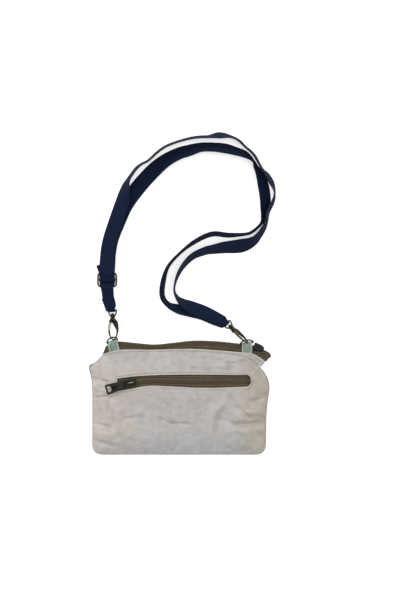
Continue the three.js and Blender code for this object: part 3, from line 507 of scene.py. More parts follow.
def flow(rows, steps, loop=False, tension=0.5):
    """Catmull-Rom curve through rows: cubics with slopes of tension times the neighbours' span."""
    rows = np.asarray(rows, float)
    if loop:
        padded = np.concatenate([rows[-1:], rows, rows[:2]])
    else:
        padded = np.concatenate([2 * rows[:1] - rows[1:2], rows, 2 * rows[-1:] - rows[-2:-1]])
    before, start, end, after = (padded[k : len(padded) - 3 + k, None] for k in range(4))
    t = (np.arange(steps) / steps)[None, :, None]
    slope_in, slope_out = tension * (end - before), tension * (after - start)
    cubic = 2 * start - 2 * end + slope_in + slope_out
    square = -3 * start + 3 * end - 2 * slope_in - slope_out
    curve = ((cubic * t + square) * t + slope_in) * t + start
    curve = curve.reshape(-1, rows.shape[1])
    return curve if loop else np.concatenate([curve, rows[-1:]])


def tangents(path, loop=False):
    """Unit direction of travel at each point, from its neighbours."""
    run = np.roll(path, -1, axis=0) - np.roll(path, 1, axis=0)
    if not loop:
        run[0], run[-1] = path[1] - path[0], path[-1] - path[-2]
    return unit(run)


def lengths(path):
    """Distance walked along a path up to each of its points."""
    return np.concatenate([[0], np.cumsum(np.linalg.norm(np.diff(path, axis=0), axis=1))])


def walk(path, count):
    """The path again, as a given count of evenly spaced points."""
    walked = lengths(path)
    places = np.linspace(0, walked[-1], count)
    return np.stack([np.interp(places, walked, column) for column in path.T], axis=1)


def rounded_path(corners):
    """A path through corners (x, y, trim); a quadratic curve rounds each inner one over its trim."""
    corners = np.asarray(corners, float)
    xy, trim = corners[:, :2], corners[1:-1, 2:]
    middle = xy[1:-1]
    entry = middle + unit(xy[:-2] - middle) * trim
    leave = middle + unit(xy[2:] - middle) * trim
    t = np.linspace(0, 1, 9)[None, :, None]
    curve = (1 - t) ** 2 * entry[:, None] + 2 * t * (1 - t) * middle[:, None] + t**2 * leave[:, None]
    return np.concatenate([xy[:1], curve.reshape(-1, 2), xy[-1:]])


def distance_to(path, x, y):
    """Shortest distance from each point to the segments of a path."""
    nearest = np.full(np.shape(x), np.inf)
    for (x0, y0), (run_x, run_y) in zip(path[:-1], np.diff(path, axis=0)):
        share = np.clip(((x - x0) * run_x + (y - y0) * run_y) / (run_x**2 + run_y**2), 0, 1)
        nearest = np.minimum(nearest, np.hypot(x - x0 - share * run_x, y - y0 - share * run_y))
    return nearest


def band(at, across, width, thickness, columns, relief=None, edge=0.4):
    """A flat woven band: rings over its upper face and back under it, thinner at its two edges.

    The half thickness is thickness / 2 times edge + (1 - edge) * (1 - |2v|^6); relief adds to the upper
    face. Returns points, quads, UV in metres (length, width) and the place across, from -0.5 to 0.5."""
    along = tangents(at)
    normal = unit(np.cross(along, across))
    side = np.cross(normal, along)
    v = np.linspace(-0.5, 0.5, columns)
    rim = edge + (1 - edge) * (1 - np.abs(2 * v) ** 6)
    upper = thickness / 2 * rim + (relief(v) if relief else 0)
    lower = -thickness / 2 * rim
    v, height = np.concatenate([v, v[::-1]]), np.concatenate([upper, lower[::-1]])
    width = np.broadcast_to(width, len(at))[:, None]
    points = at[:, None] + side[:, None] * (v * width)[..., None] + normal[:, None] * height[None, :, None]
    u = np.broadcast_to(lengths(at)[:, None], points.shape[:2])
    uv = np.stack([u, (v + 0.5) * width], axis=-1) * MM
    return points.reshape(-1, 3), skin(len(at), 2 * columns), uv.reshape(-1, 2), np.tile(v, len(at))


def rod(path, radius, normal, sides=16, loop=False, depth=1.0):
    """A wire on a flat path: circles square to it, depth times as high along the normal, with domed ends."""
    radius = np.broadcast_to(np.asarray(radius, float), len(path)).copy()
    depth = np.broadcast_to(np.asarray(depth, float), len(path)).copy()
    along = tangents(path, loop)
    if not loop:
        lift = np.radians([80, 55, 28])
        head = path[0] - along[0] * radius[0] * np.sin(lift)[:, None]
        tail = path[-1] + along[-1] * radius[-1] * np.sin(lift[::-1])[:, None]
        path = np.concatenate([head, path, tail])
        radius = np.concatenate([radius[0] * np.cos(lift), radius, radius[-1] * np.cos(lift[::-1])])
        along = np.concatenate([np.repeat(along[:1], 3, 0), along, np.repeat(along[-1:], 3, 0)])
        depth = np.concatenate([np.repeat(depth[:1], 3), depth, np.repeat(depth[-1:], 3)])
    side = unit(np.cross(along, normal))
    angle = round_angles(sides)
    deep = np.sin(angle)[:, None] * np.asarray(normal, float) * depth[:, None, None]
    circle = np.cos(angle)[:, None] * side[:, None] + deep
    points = path[:, None] + radius[:, None, None] * circle
    return points.reshape(-1, 3), skin(len(path), sides, loop)


def turned(profile, sides=24):
    """A profile of (radius, height) rows spun round Y, as points and capped quads."""
    radius, height = np.array(profile, float).T[..., None]
    angle = round_angles(sides)
    points = xyz(radius * np.cos(angle), height, radius * np.sin(angle))
    return points.reshape(-1, 3), skin(len(profile), sides)


def threads(centres, along, up, length, thickness, hump=0.5):
    """Short threads: each a six-sided spindle along its own direction, humped up over what it lies on."""
    t = np.array([-1, -0.6, 0, 0.6, 1])
    girth = thickness / 2 * np.array([0.45, 0.9, 1, 0.9, 0.45])
    angle = np.arange(6) * np.pi / 3
    along, up = np.broadcast_to(along, centres.shape), np.broadcast_to(up, centres.shape)
    side = unit(np.cross(along, up))
    spine = centres[:, None] + along[:, None] * (t * length / 2)[:, None]
    spine = spine + up[:, None] * (hump * thickness * (1 - t**2))[:, None]
    ring = np.cos(angle)[:, None] * side[:, None] + np.sin(angle)[:, None] * up[:, None]
    points = spine[:, :, None] + girth[:, None, None] * ring[:, None]
    one = skin(len(t), len(angle))
    starts = np.arange(len(centres)) * len(t) * len(angle)
    return points.reshape(-1, 3), (one[None] + starts[:, None, None]).reshape(-1, 4)


def stitch_row(path, pitch, length, thickness, up=(0, 0, 1)):
    """Stitches along a path at an even pitch, as points and quads."""
    count = max(2, int(lengths(path)[-1] / pitch))
    places = walk(path, 2 * count + 1)
    return threads(places[1::2], tangents(places)[1::2], np.asarray(up, float), length, thickness)


print("path helpers ready")

# %% [markdown]
# ## The bag's form
# The two panels share one outline: a sewn seam down the left, along the bottom and up the right, and a
# free mouth at the top. The front swells from the seam like a quarter ellipse and sinks towards the
# mouth; the back lies flat and lifts to the seam. The same few numbers drive the solids.

# %% Outline and heights of the two panels
CANVAS = 1.4
GAP = 0.3
SEAM_HEIGHT = 4.2
CROWN = 12
CROWN_RUN = 38
BACK_RUN = 26
MOUTH_SHARE = 0.45
MOUTH_RUN = 45
SEAM_CORNERS = [
    (-99.4, 70.4, 0),
    (-107.6, 62, 5),
    (-117.5, 57, 4),
    (-112.2, 36, 12),
    (-112.2, -58, 14),
    (112.2, -58, 14),
    (113, 4, 20),
    (118, 31, 10),
    (113.5, 45, 8),
    (105, 55, 0),
]
MOUTH_CORNERS = [
    (105, 55, 0),
    (92, 68, 11),
    (63, 73, 12),
    (14, 76.4, 24),
    (-37, 76, 20),
    (-76, 75, 11),
    (-99.4, 70.4, 0),
]
SEAM = rounded_path(SEAM_CORNERS)
MOUTH = rounded_path(MOUTH_CORNERS)


def bulge(share):
    """Quarter ellipse: steep at the seam, level where the run ends."""
    return np.sqrt(1 - (1 - np.minimum(share, 1)) ** 2)


print("seam", round(lengths(SEAM)[-1]), "mm long, mouth", round(lengths(MOUTH)[-1]), "mm")

# %% [markdown]
# ## Folds of the front
# The cotton is creased where it was folded and where the pocket behind it pulls. Each row of the table
# is one fold: where it starts and ends, how wide and high it is, and how far it steps from one side to
# the other. A fold fades at its ends. Long soft waves run under all of it.

# %% Fold table and the front's height
FOLDS = np.array(
    [
        # x0, y0, x1, y1, half width, rise, step
        (61, 20, 53, 7, 5.0, 0.7, 0.7),
        (53, 7, 44, -3, 5.2, 0.8, 0.7),
        (44, -3, 39, -19, 6.0, 0.7, 0.6),
        (39, -19, 38, -34, 6.4, 0.5, 0.6),
        (38, -34, 40, -46, 6.4, 0.3, 0.4),
        (-24, -11, -9, -16, 2.6, -0.9, 0.7),
        (-9, -16, 12, -17, 2.6, -0.9, 0.7),
        (77, 3, 90, -8, 2.8, -1.6, 0.8),
        (88, -3, 113, -3, 4.4, 1.8, 0.0),
        (56, -12, 74, -18, 4.0, -0.9, 0.6),
        (74, -18, 112, -15, 3.8, -1.9, 0.9),
        (80, -25, 112, -27, 6.0, 1.3, 0.0),
        (-113, 16, -92, 18, 2.0, -1.7, 0.5),
        (-113, 41, -94, 37, 2.4, -1.5, 0.5),
        (-92, 9, -91, -3, 2.0, -1.2, 0.0),
        (-68, -10, -50, -8, 3.0, -0.8, 0.5),
        (-110, -16, -92, -21, 2.8, -1.6, 0.5),
        (-108, -39, -87, -45, 3.0, -1.8, 0.7),
        (-110, -29, -96, -31, 3.6, 1.2, 0.0),
        (-108, 28, -94, 24, 2.4, 1.2, 0.4),
        (-64, 18, -54, -2, 3.6, 0.5, 0.5),
        (42, 71, 62, 64, 4.0, 1.0, 0.4),
        (62, 64, 84, 67, 4.0, 1.0, -0.3),
        (20, 57, 58, 56, 3.5, 0.8, 0.3),
        (58, 56, 84, 53, 3.5, 0.8, 0.3),
        (66, -50, 71, -57, 2.8, -1.9, 0.0),
        (86, -53, 89, -58, 2.8, -1.9, 0.0),
        (104, -32, 112, -40, 3.2, -1.6, 0.4),
        (96, 12, 112, 18, 3.6, -1.2, 0.5),
    ]
)
FOLD_DEPTH = 1.9
WAVES = [
    # wave along x and y in millimetres, phase, height
    (150, 90, 0.4, 0.5),
    (-95, 70, 2.1, 0.4),
    (60, -120, 4.0, 0.35),
    (38, 55, 1.3, 0.2),
]


def fold_height(x, y):
    """Long waves plus folds: each a bell across its line plus a stepped bell, faded at the line's ends."""
    total = sum(h * np.sin(2 * np.pi * (x / wx + y / wy) + phase) for wx, wy, phase, h in WAVES)
    for x0, y0, x1, y1, half_width, rise, step in FOLDS:
        run = np.hypot(x1 - x0, y1 - y0)
        along_x, along_y = (x1 - x0) / run, (y1 - y0) / run
        along = (x - x0) * along_x + (y - y0) * along_y
        off = (y - y0) * along_x - (x - x0) * along_y
        beyond = np.maximum(np.maximum(-along, along - run), 0)
        bell = np.exp(-((off / half_width) ** 2) - (beyond / (1.6 * half_width)) ** 2)
        total = total + FOLD_DEPTH * (rise + step * off / half_width) * bell
    return total


def plain_height(x, y, folds=0.0):
    """Outer face of the front, which the zip behind it follows: crowned from the seam, lower at the mouth."""
    rise = bulge(distance_to(SEAM, x, y) / CROWN_RUN)
    share = MOUTH_SHARE + (1 - MOUTH_SHARE) * smooth(distance_to(MOUTH, x, y) / MOUTH_RUN)
    return SEAM_HEIGHT + GAP / 2 + CANVAS + rise * (CROWN * share + folds)


def front_height(x, y):
    """The same face with its folds."""
    return plain_height(x, y, fold_height(x, y))


print("front is highest at", round(float(front_height(np.array([0.0]), np.array([8.0]))[0]), 1), "mm")

# %% [markdown]
# ## Front panel
# The front has a long window for the pocket zip, so it is a ring of cloth: one loop of points runs
# round the outline and another round the window, and every line from one to the other is a column of
# the grid. The cloth turns under at the window and at the outer edge, and an inner face closes it into
# a thin solid. Puckers run in from the seam, where the stitching gathers the cloth.

# %% Window and front panel
WINDOW = np.array(
    [
        # x, lower edge, upper edge
        (-80, 24, 41.3),
        (-58, 28, 44),
        (-37, 31.2, 45.5),
        (-10, 30.3, 46.2),
        (30, 28.4, 46.4),
        (84, 29.6, 45.6),
    ]
)
WINDOW_NOSE = 9
SIDE_COLUMNS = (90, 150, 80, 140)
CLOTH_ROWS = 24
COARSE = 4
CROWDING = 1.5
BOTTOM_CORNERS = ((-108, -54), (108, -54))
EAR = (-114.5, 58)
CUT = np.array([1.02, 1.07, 1.0])
CLOTH = {
    "quality": 8,
    "mass": 0.05,
    "tension_stiffness": 12,
    "compression_stiffness": 12,
    "shear_stiffness": 4,
    "bending_stiffness": 0.05,
}
MOST_RISE = 2
GATHER_START, GATHER_RUN = 3, 9
GATHERS = ((61, 0.3, 0.3), (83, 1.9, 0.25), (37, 4.2, 0.35))
LIP = np.array([(0.3, 0.15), (0.6, 0.5), (0.6, 0.9), (0.1, 1.25), (-1.5, 1.4)])


def window_sides():
    """The window's left end, lower edge, rounded right end and upper edge, in the outline's own order."""
    curve = flow(WINDOW, 8)
    lower, upper = curve[:, :2], curve[:, ::2]
    left = np.array([upper[0], lower[0]])
    middle, half_gap = (lower[-1] + upper[-1]) / 2, (upper[-1, 1] - lower[-1, 1]) / 2
    angle = np.linspace(-np.pi / 2, np.pi / 2, 25)
    nose = middle + np.stack([WINDOW_NOSE * np.cos(angle) ** 0.6, half_gap * np.sin(angle)], axis=1)
    return left, lower, nose, upper[::-1]


def joined_loop(sides):
    """Four sides walked with their own share of columns, as one closed loop."""
    return np.concatenate([walk(side, count + 1)[:-1] for side, count in zip(sides, SIDE_COLUMNS)])


def outline_sides():
    """The panel's left side, bottom, right side and mouth, split at the two bottom corners."""
    seam = walk(SEAM, 1400)
    left, right = (np.argmin(np.hypot(*(seam - corner).T)) for corner in BOTTOM_CORNERS)
    return seam[: left + 1], seam[left : right + 1], seam[right:], walk(MOUTH, 400)


OUTLINE_LOOP, WINDOW_LOOP = joined_loop(outline_sides()), joined_loop(window_sides())


def cotton_tone_and_shade(x, y):
    """Cream (0) towards the sides, cool grey (1) in the middle; the grey along the bottom and along the mouth
    is painted shade.
    """
    middle = np.exp(-(((x - 20) / 85) ** 2) - ((y + 10) / 60) ** 2)
    # Painted shade: greyer along the bottom and along the mouth
    rim_shade = 0.55 * ramp(y, -20, -50) + 0.45 * ramp(y, 44, 62)
    return np.clip(0.12 + 0.62 * middle + rim_shade - 0.2 * ramp(x, -60, -110), 0, 1)


def cotton_beige_and_shade(x):
    """Yellower, darker cloth towards the right side of the bag: a beige tint with painted shade."""
    return 0.85 * ramp(x, 62, 107)


def pucker(columns):
    """Uneven gathers along the seam: a sum of sines (count, phase, height) of the column number."""
    turn = np.arange(columns) / columns * 2 * np.pi
    return sum(h * np.sin(k * turn + phase) for k, phase, h in GATHERS)


def settled(points, frames=24):
    """A coarse copy of the front, cut too large by CUT, let go as cloth with its two rims held.

    Points are a grid of rows by columns in millimetres, its columns a loop. Returns how far each point
    rose, levelled off towards MOST_RISE."""
    rows, columns = points.shape[:2]
    mesh = bpy.data.meshes.new("loose_cloth")
    quads = skin(rows, columns)[: (rows - 1) * columns]
    mesh.from_pydata((points.reshape(-1, 3) * MM).tolist(), [], quads.tolist())
    cloth = bpy.data.objects.new("loose_cloth", mesh)
    bpy.context.scene.collection.objects.link(cloth)
    rim = np.concatenate([np.arange(columns), np.arange(columns) + (rows - 1) * columns])
    cloth.vertex_groups.new(name="held").add(rim.tolist(), 1.0, "REPLACE")
    settings = cloth.modifiers.new("cloth", "CLOTH").settings
    settings.vertex_group_mass = "held"
    for key, value in CLOTH.items():
        setattr(settings, key, value)
    cloth.shape_key_add(name="laid")
    cut = cloth.shape_key_add(name="cut")
    cut.data.foreach_set("co", (points * CUT * MM).ravel())
    settings.rest_shape_key = cut
    settings.effector_weights.gravity = 0
    for step in range(1, frames + 1):
        bpy.context.scene.frame_set(step)
    shape = cloth.evaluated_get(bpy.context.evaluated_depsgraph_get()).to_mesh()
    moved = np.empty(3 * rows * columns, np.float32)
    shape.vertices.foreach_get("co", moved)
    bpy.data.objects.remove(cloth)
    bpy.context.scene.frame_set(1)
    rise = moved.reshape(rows, columns, 3)[..., 2] / MM - points[..., 2]
    return MOST_RISE * np.tanh(rise / MOST_RISE)


def front_panel():
    """A loop of rings: outer face from the outline to the window, a turned lip, inner face back again."""
    rows = np.linspace(0, 1, COARSE * CLOTH_ROWS + 1) ** CROWDING
    last = len(rows) - 1
    inner = np.linspace(0.94, 0.03, 16)
    reach = np.linalg.norm(WINDOW_LOOP - OUTLINE_LOOP, axis=1)
    share = np.concatenate([
        np.broadcast_to(rows[:, None], (len(rows), len(reach))),
        1 + LIP[:, :1] / reach,
        np.broadcast_to(inner[:, None], (len(inner), len(reach))),
        np.zeros((1, len(reach))),
    ])
    drop = np.concatenate([np.zeros(len(rows)), LIP[:, 1], np.full(len(inner), CANVAS), [CANVAS * 0.6]])
    xy = OUTLINE_LOOP + (WINDOW_LOOP - OUTLINE_LOOP) * share[..., None]
    x, y = xy[..., 0], xy[..., 1]
    from_seam = distance_to(SEAM, x, y)
    gather = pucker(len(reach)) * np.exp(-from_seam / GATHER_RUN) * smooth(from_seam / GATHER_START)
    z = front_height(x, y) + gather
    coarse = xyz(x, y, z)[: len(rows) : COARSE, ::COARSE]
    rise = flow(flow(settled(coarse), COARSE).T, COARSE, loop=True).T
    follow = np.concatenate([np.arange(len(rows)), np.full(len(LIP), last), np.rint(inner * last), [0]])
    from_window = np.abs(1 - share) * reach
    rise = rise[follow.astype(int)]
    rise = np.where(rise < 0, rise * ramp(from_window, 2, 14), rise)
    z = z + rise - drop[:, None]
    print("cloth rose from", round(float(rise.min()), 2), "to", round(float(rise.max()), 2), "mm")
    below = y < np.interp(x, WINDOW[:, 0], WINDOW[:, 1:].mean(axis=1))
    rubbed = np.where(below & (x < WINDOW[-1, 0]), ramp(x, -25, -50), 1)
    worn = 0.9 * rubbed * bell(from_window, 0.55)
    # Painted shade: dark lines along the seam, at the curled corner, under the mouth's edge and just outside
    # the window
    curl = np.hypot(x - EAR[0], y - EAR[1])
    seam = 0.75 * bell(from_seam, 0.9) + 0.7 * bell(curl, 2.5) + 0.35 * bell(distance_to(MOUTH, x, y), 0.7)
    line = 0.4 + 0.4 * ramp(x, 80, 90)
    seam = seam + line * bell(from_window - 1.9, 0.5)
    values = {
        "tone_and_shade": cotton_tone_and_shade(x, y),
        "edge": np.clip(worn, 0, 1),
        "seam": np.clip(seam, 0, 1),
        "beige_and_shade": cotton_beige_and_shade(x),
    }
    quads = skin(len(drop), len(reach), loop=True)
    points = xyz(x, y, z)
    piece = make_piece("cotton_front", points, quads, COTTON, "cotton", nodes=["front_panel"], values=values)


front_panel()

# %% [markdown]
# ## Back panel
# The back is the same cut without a window. Rings shrink from the outline to a line along the middle,
# first over its inner face and then back over the face that rests on the ground.

# %% Back panel
SPINE_HALF = 62
SPINE_Y = 8
SPINE_SHARE = 0.93
BACK_ROWS = 28


def back_panel():
    """Rings between the outline and the spine, on two faces a cloth's thickness apart."""
    shares = np.linspace(0, 1, BACK_ROWS) ** CROWDING * SPINE_SHARE
    outer_x, outer_y = OUTLINE_LOOP.T
    x = outer_x + (np.clip(outer_x, -SPINE_HALF, SPINE_HALF) - outer_x) * shares[:, None]
    y = outer_y + (SPINE_Y - outer_y) * shares[:, None]
    under = (SEAM_HEIGHT - GAP / 2 - CANVAS) * (1 - bulge(distance_to(SEAM, x, y) / BACK_RUN))
    face = xyz(x, y, under)
    lining = face[::-1] + (0, 0, CANVAS)
    points = np.concatenate([lining, face])
    x, y = points[..., 0], points[..., 1]
    edge = 0.2 * np.exp(-distance_to(MOUTH, x, y))
    values = {"tone_and_shade": cotton_tone_and_shade(x, y), "edge": edge, "beige_and_shade": cotton_beige_and_shade(x)}
    quads = skin(len(points), len(OUTLINE_LOOP))
    piece = make_piece("cotton_back", points, quads, COTTON, "cotton", nodes=["back_panel"], values=values)


back_panel()

# %% [markdown]
# ## Hem
# Along the mouth the lining edge of the front is turned into a narrow hem that shows as a pale strip
# above the front panel. It lies a little under the panel and over the zip tape, so its height is worked
# out from the panel's at the mouth.

# %% Hem strip along the mouth
HEM = 1.0
HEM_LEVEL = (-96, 94)
TAPE = 0.8
RIBBON = 0.8
TAB_ROOM = 0.7
HEM_EDGE = [
    # x, y, width
    (-99.4, 71.9, 1),
    (-92, 74, 1.9),
    (-83.4, 76.1, 4.8),
    (-76, 77.6, 6.5),
    (-61, 78.1, 6.5),
    (-38, 77.6, 6.5),
    (14, 78.8, 6.5),
    (50, 76.8, 6.5),
    (80, 74.4, 6.5),
    (94, 73, 7.4),
    (105.6, 67, 9.4),
    (111.6, 62.4, 8.4),
]
HEM_STITCHES = 3.0, 2.3, 0.45
HEM_STITCH_INSET = 1.6
HEM_DROP = 2.4
HEM_DROP_FROM, HEM_DROP_TO = 88, 112
UP = np.array([0.0, 0.0, 1.0])


def hem_top(x):
    """Top of the hem under the front panel's edge at the mouth, level past the panel's ends."""
    inside = np.clip(np.asarray(x, float), *HEM_LEVEL)
    mouth = MOUTH[np.argsort(MOUTH[:, 0])]
    return plain_height(inside, np.interp(inside, mouth[:, 0], mouth[:, 1])) - CANVAS - 2 * GAP


def tape_top(x):
    """Top of the zip tape under the hem, with room between them for a folded ribbon."""
    return hem_top(x) - HEM - 2 * RIBBON - 3 * GAP - TAB_ROOM


def hem_strip():
    """A band below the curve through HEM_EDGE, dropping at its right end, with a row of stitches."""
    x, y, width = flow(HEM_EDGE, 12).T
    edge = xyz(x, y, 0)
    across = np.cross(UP, tangents(edge))
    across[:, 2] = HEM_DROP * ramp(x, HEM_DROP_FROM, HEM_DROP_TO) / width
    at = edge - across * width[:, None] / 2
    at[:, 2] += hem_top(x) - HEM / 2
    points, quads, uv, v = band(at, across, width, HEM, 11)
    # The seam value paints a line of shade along the hem's right end
    values = {
        "tone_and_shade": np.full(len(points), 0.1),
        "edge": 0.25 + 0.3 * ramp(np.abs(v), 0.38, 0.48),
        "seam": 0.5 * bell(v - 0.12, 0.07) * ramp(points[:, 0], 86, 98),
    }
    piece = make_piece(
        "cotton_hem", points, quads, COTTON, "cotton", nodes=["front_hem"], uv=uv, values=values
    )
    line = edge - across * HEM_STITCH_INSET
    line[:, 2] += hem_top(x)
    make_piece("hem_stitches", *stitch_row(line, *HEM_STITCHES), COTTON_THREAD, "cotton")


hem_strip()

# %% [markdown]
# ## Zips
# Both zips are nylon coil zips in brown. The tape is a strip with fine ribs along its length, so its
# section carries ridges. The chain between the tapes is two rows of coils that lean across a cord;
# each coil is a short thread laid across, left and right in turn.

# %% Zip helpers
CHAIN_WIDTH = 4.4
CHAIN_HEIGHT = 1.8
COIL_PITCH = 1.25
CORE_WIDTH, CORE_HEIGHT = CHAIN_WIDTH * 1.2, CHAIN_HEIGHT * 0.5
COIL_LENGTH, COIL_GIRTH = CHAIN_WIDTH * 0.56, COIL_PITCH * 0.95
COIL_OFF, COIL_LIFT = CHAIN_WIDTH * 0.23, CHAIN_HEIGHT * 0.12
RIB_HEIGHT = 0.35


def ribbed(ribs, height):
    """Ridges along a tape: a raised cosine across its width, as many times as it has ribs."""
    return lambda v: height * 0.5 * (1 + np.cos(2 * np.pi * ribs * (v + 0.5)))


def tape_strip(name, low, high, ribs, nodes):
    """A tape between a low edge and a high edge, both rows of points, with ribs along it."""
    at = (low + high) / 2
    width = np.linalg.norm(high - low, axis=1)
    points, quads, uv, v = band(at, unit(high - low), width, TAPE, 8 * ribs + 1, ribbed(ribs, RIB_HEIGHT))
    # Painted shade in the grooves between ribs
    groove_shade = {"groove_shade": (0.5 - 0.5 * np.cos(2 * np.pi * ribs * (v + 0.5))) ** 3}
    piece = make_piece(name, points, quads, TAPE_FINISH, "zip_tape", nodes=nodes, uv=uv, values=groove_shade)


def coil_chain(name, middle, across, up, nodes):
    """A closed chain: a core strip and two rows of coils, set half a pitch apart."""
    core = band(middle, across, CORE_WIDTH, CORE_HEIGHT, 7)
    count = int(lengths(middle)[-1] / COIL_PITCH)
    places = walk(np.column_stack([middle, across]), 2 * count + 1)
    spots, sides = places[:, :3], unit(places[:, 3:])
    rows = []
    for way, start in ((-1, 0), (1, 1)):
        centre = spots[start::2] + way * sides[start::2] * COIL_OFF + up * COIL_LIFT
        rows.append(threads(centre, sides[start::2], up, COIL_LENGTH, COIL_GIRTH, hump=0.35))
    points, quads = merged(core[:2], *rows)
    make_piece(name, points, quads, COIL_FINISH, "zip_chain", nodes=nodes)


print("coils every", COIL_PITCH, "mm")

# %% Top zip
TOP_ZIP = [
    # x, lower edge of the front tape, apex
    (-99.5, 71.2, 75.9),
    (-96.5, 71.9, 80.3),
    (-93.5, 72.2, 84.7),
    (-91, 72.7, 88.2),
    (-86, 72, 88.2),
    (-79, 70.6, 87.9),
    (-68.6, 70.5, 87.2),
    (-55, 71, 85.8),
    (-31, 72, 84),
    (-5, 73, 86.5),
    (20, 74, 89),
    (50, 72, 88),
    (78, 67, 85),
    (93, 63.5, 83),
]
TOP_CHAIN_Z = 3.3
CHAIN_START = -89
CHAIN_END = (99, 82.4)
BACK_TAPE_REACH = 80
BACK_TAPE_DEPTH = 13
TAIL = [(95, 65, 75.8), (104, 62.4, 77), (110, 61.9, 77.2), (115.4, 64.8, 74.4), (118.6, 67.4, 69.4)]
TAIL_Z = 4.4


def top_zip():
    """Front and back tapes below the apex of the zip, the coils along it, and the tail at the right."""
    x, low, apex = flow(TOP_ZIP, 10).T
    seat = CHAIN_WIDTH + GAP
    low_z = tape_top(x) - TAPE / 2
    high_edge = xyz(x, apex - seat, np.minimum(low_z, TOP_CHAIN_Z + GAP))
    tape_strip("top_zip_front", xyz(x, low, low_z), high_edge, 4, ["top_zip_front_tape"])
    keep = np.abs(x) < BACK_TAPE_REACH
    back_low = xyz(x, apex - BACK_TAPE_DEPTH, CANVAS + GAP + TAPE / 2)[keep]
    back_high = xyz(x, apex - seat, TOP_CHAIN_Z - TAPE - GAP)[keep]
    tape_strip("top_zip_back", back_low, back_high, 4, ["top_zip_back_tape"])
    closed = x > CHAIN_START
    chain_x, chain_apex = np.append(x[closed], CHAIN_END[0]), np.append(apex[closed], CHAIN_END[1])
    middle = xyz(chain_x, chain_apex - CHAIN_WIDTH / 2, TOP_CHAIN_Z)
    coil_chain("top_zip_coils", middle, np.cross(UP, tangents(middle)), UP, ["top_zip_chain"])
    x, low, high = flow(TAIL, 8).T
    tape_strip("top_zip_end", xyz(x, low, TAIL_Z), xyz(x, high, TAIL_Z), 5, ["top_zip_tail"])


top_zip()

# %% Pocket zip
POCKET_TUCK = 5
POCKET_GAP = 0.8
POCKET_CHAIN_RISE = 0.9
WINDOW_STITCHES = 2.9, 2.2, 0.45
STITCH_INSET = 2.6


def pocket_zip():
    """Two tapes and the coils between them, a small gap under the front's plain face at the window."""
    curve = flow(WINDOW, 10)
    curve = np.concatenate([curve, curve[-1:] + (WINDOW_NOSE - 1, 0, 0)])
    x, low, high = curve.T
    middle = (low + high) / 2
    seat = CHAIN_WIDTH / 2 + GAP

    def under(y):
        return xyz(x, y, plain_height(x, y) - CANVAS - POCKET_GAP - TAPE / 2)

    lower_edges = under(low - POCKET_TUCK), under(middle - seat)
    tape_strip("pocket_zip_lower", *lower_edges, 4, ["pocket_zip_lower_tape"])
    upper_edges = under(middle + seat), under(high + POCKET_TUCK)
    tape_strip("pocket_zip_upper", *upper_edges, 4, ["pocket_zip_upper_tape"])
    line = under(middle) + (0, 0, POCKET_CHAIN_RISE)
    coil_chain("pocket_zip_coils", line, np.cross(UP, tangents(line)), UP, ["pocket_zip_chain"])
    x, y = (WINDOW_LOOP - unit(WINDOW_LOOP - OUTLINE_LOOP) * STITCH_INSET).T
    ring = xyz(x, y, front_height(x, y))
    stitches = stitch_row(np.concatenate([ring, ring[:1]]), *WINDOW_STITCHES)
    make_piece("window_stitches", *stitches, COTTON_THREAD, "cotton")


pocket_zip()

# %% [markdown]
# ## Zip sliders and pulls
# A slider is a small tapered shell with a bridge over it; the pull hangs from the bridge by a slot. The
# pull flares to a wide end with a D hole. A plate with a hole is a ring of section: each column runs
# from the hole to the rim, and its section goes over the top, round the rim and back underneath.

# %% Shapes of the sliders and pulls
SLIDER_LENGTH = 14
SLIDER_WIDTH = 8.6
SLIDER_HEIGHT = 3
BRIDGE_SPAN = 7
BRIDGE_RISE = 4
BRIDGE_SHOULDER = 2.2
BRIDGE_WIRE = 0.8
SHELL_SIDES = 32
METAL_EDGE = 50
PULL_LENGTH = 33
PULL_NECK = 8.6
PULL_FLARE = 13.6
PULL_THICKNESS = 1.5
PULL_SLOT = 6.4
PULL_SLOT_WIDTH = 4
PULL_BAR = 1.8
PULL_BEVEL = 0.3
PULL_SIDES = 64
EYE_INSET = 2
EYE_LENGTH = 4.4
EYE_HALF = PULL_FLARE * 0.3
PIVOT_RISE = 1.6


def placed(points, origin, x_axis, y_axis, z_axis):
    """Local points set at an origin along three axes."""
    return np.asarray(points) @ np.array([x_axis, y_axis, z_axis]) + np.asarray(origin)


def plate(outer, inner, thickness, bevel):
    """A flat plate between two loops of (x, y): its section goes from the hole to the rim and back."""
    half = thickness / 2
    bevel_share = np.clip(bevel / np.linalg.norm(outer - inner, axis=1, keepdims=True), 0, 0.45)
    section = [(0, -1, half - bevel), (0, -1, bevel - half), (0, 1, -half), (1, -1, -half)]
    section += [(1, 0, bevel - half), (1, 0, half - bevel), (1, -1, half), (0, 1, half)]
    rings = []
    for side, inset, z in section:
        share = side + inset * bevel_share if inset != -1 or side == 1 else np.zeros_like(bevel_share)
        xy = inner + (outer - inner) * share
        rings.append(xyz(*xy.T, z))
    points = np.stack(rings)
    return points.reshape(-1, 3), skin(len(rings), len(outer), loop=True)


def superloop(width, height, power, count=48):
    """A closed loop between an ellipse (power 2) and a rectangle (high power)."""
    angle = round_angles(count)
    cos, sin = np.cos(angle), np.sin(angle)
    share = (np.abs(cos) ** power + np.abs(sin) ** power) ** (-1 / power)
    return np.stack([width / 2 * cos * share, height / 2 * sin * share], axis=1)


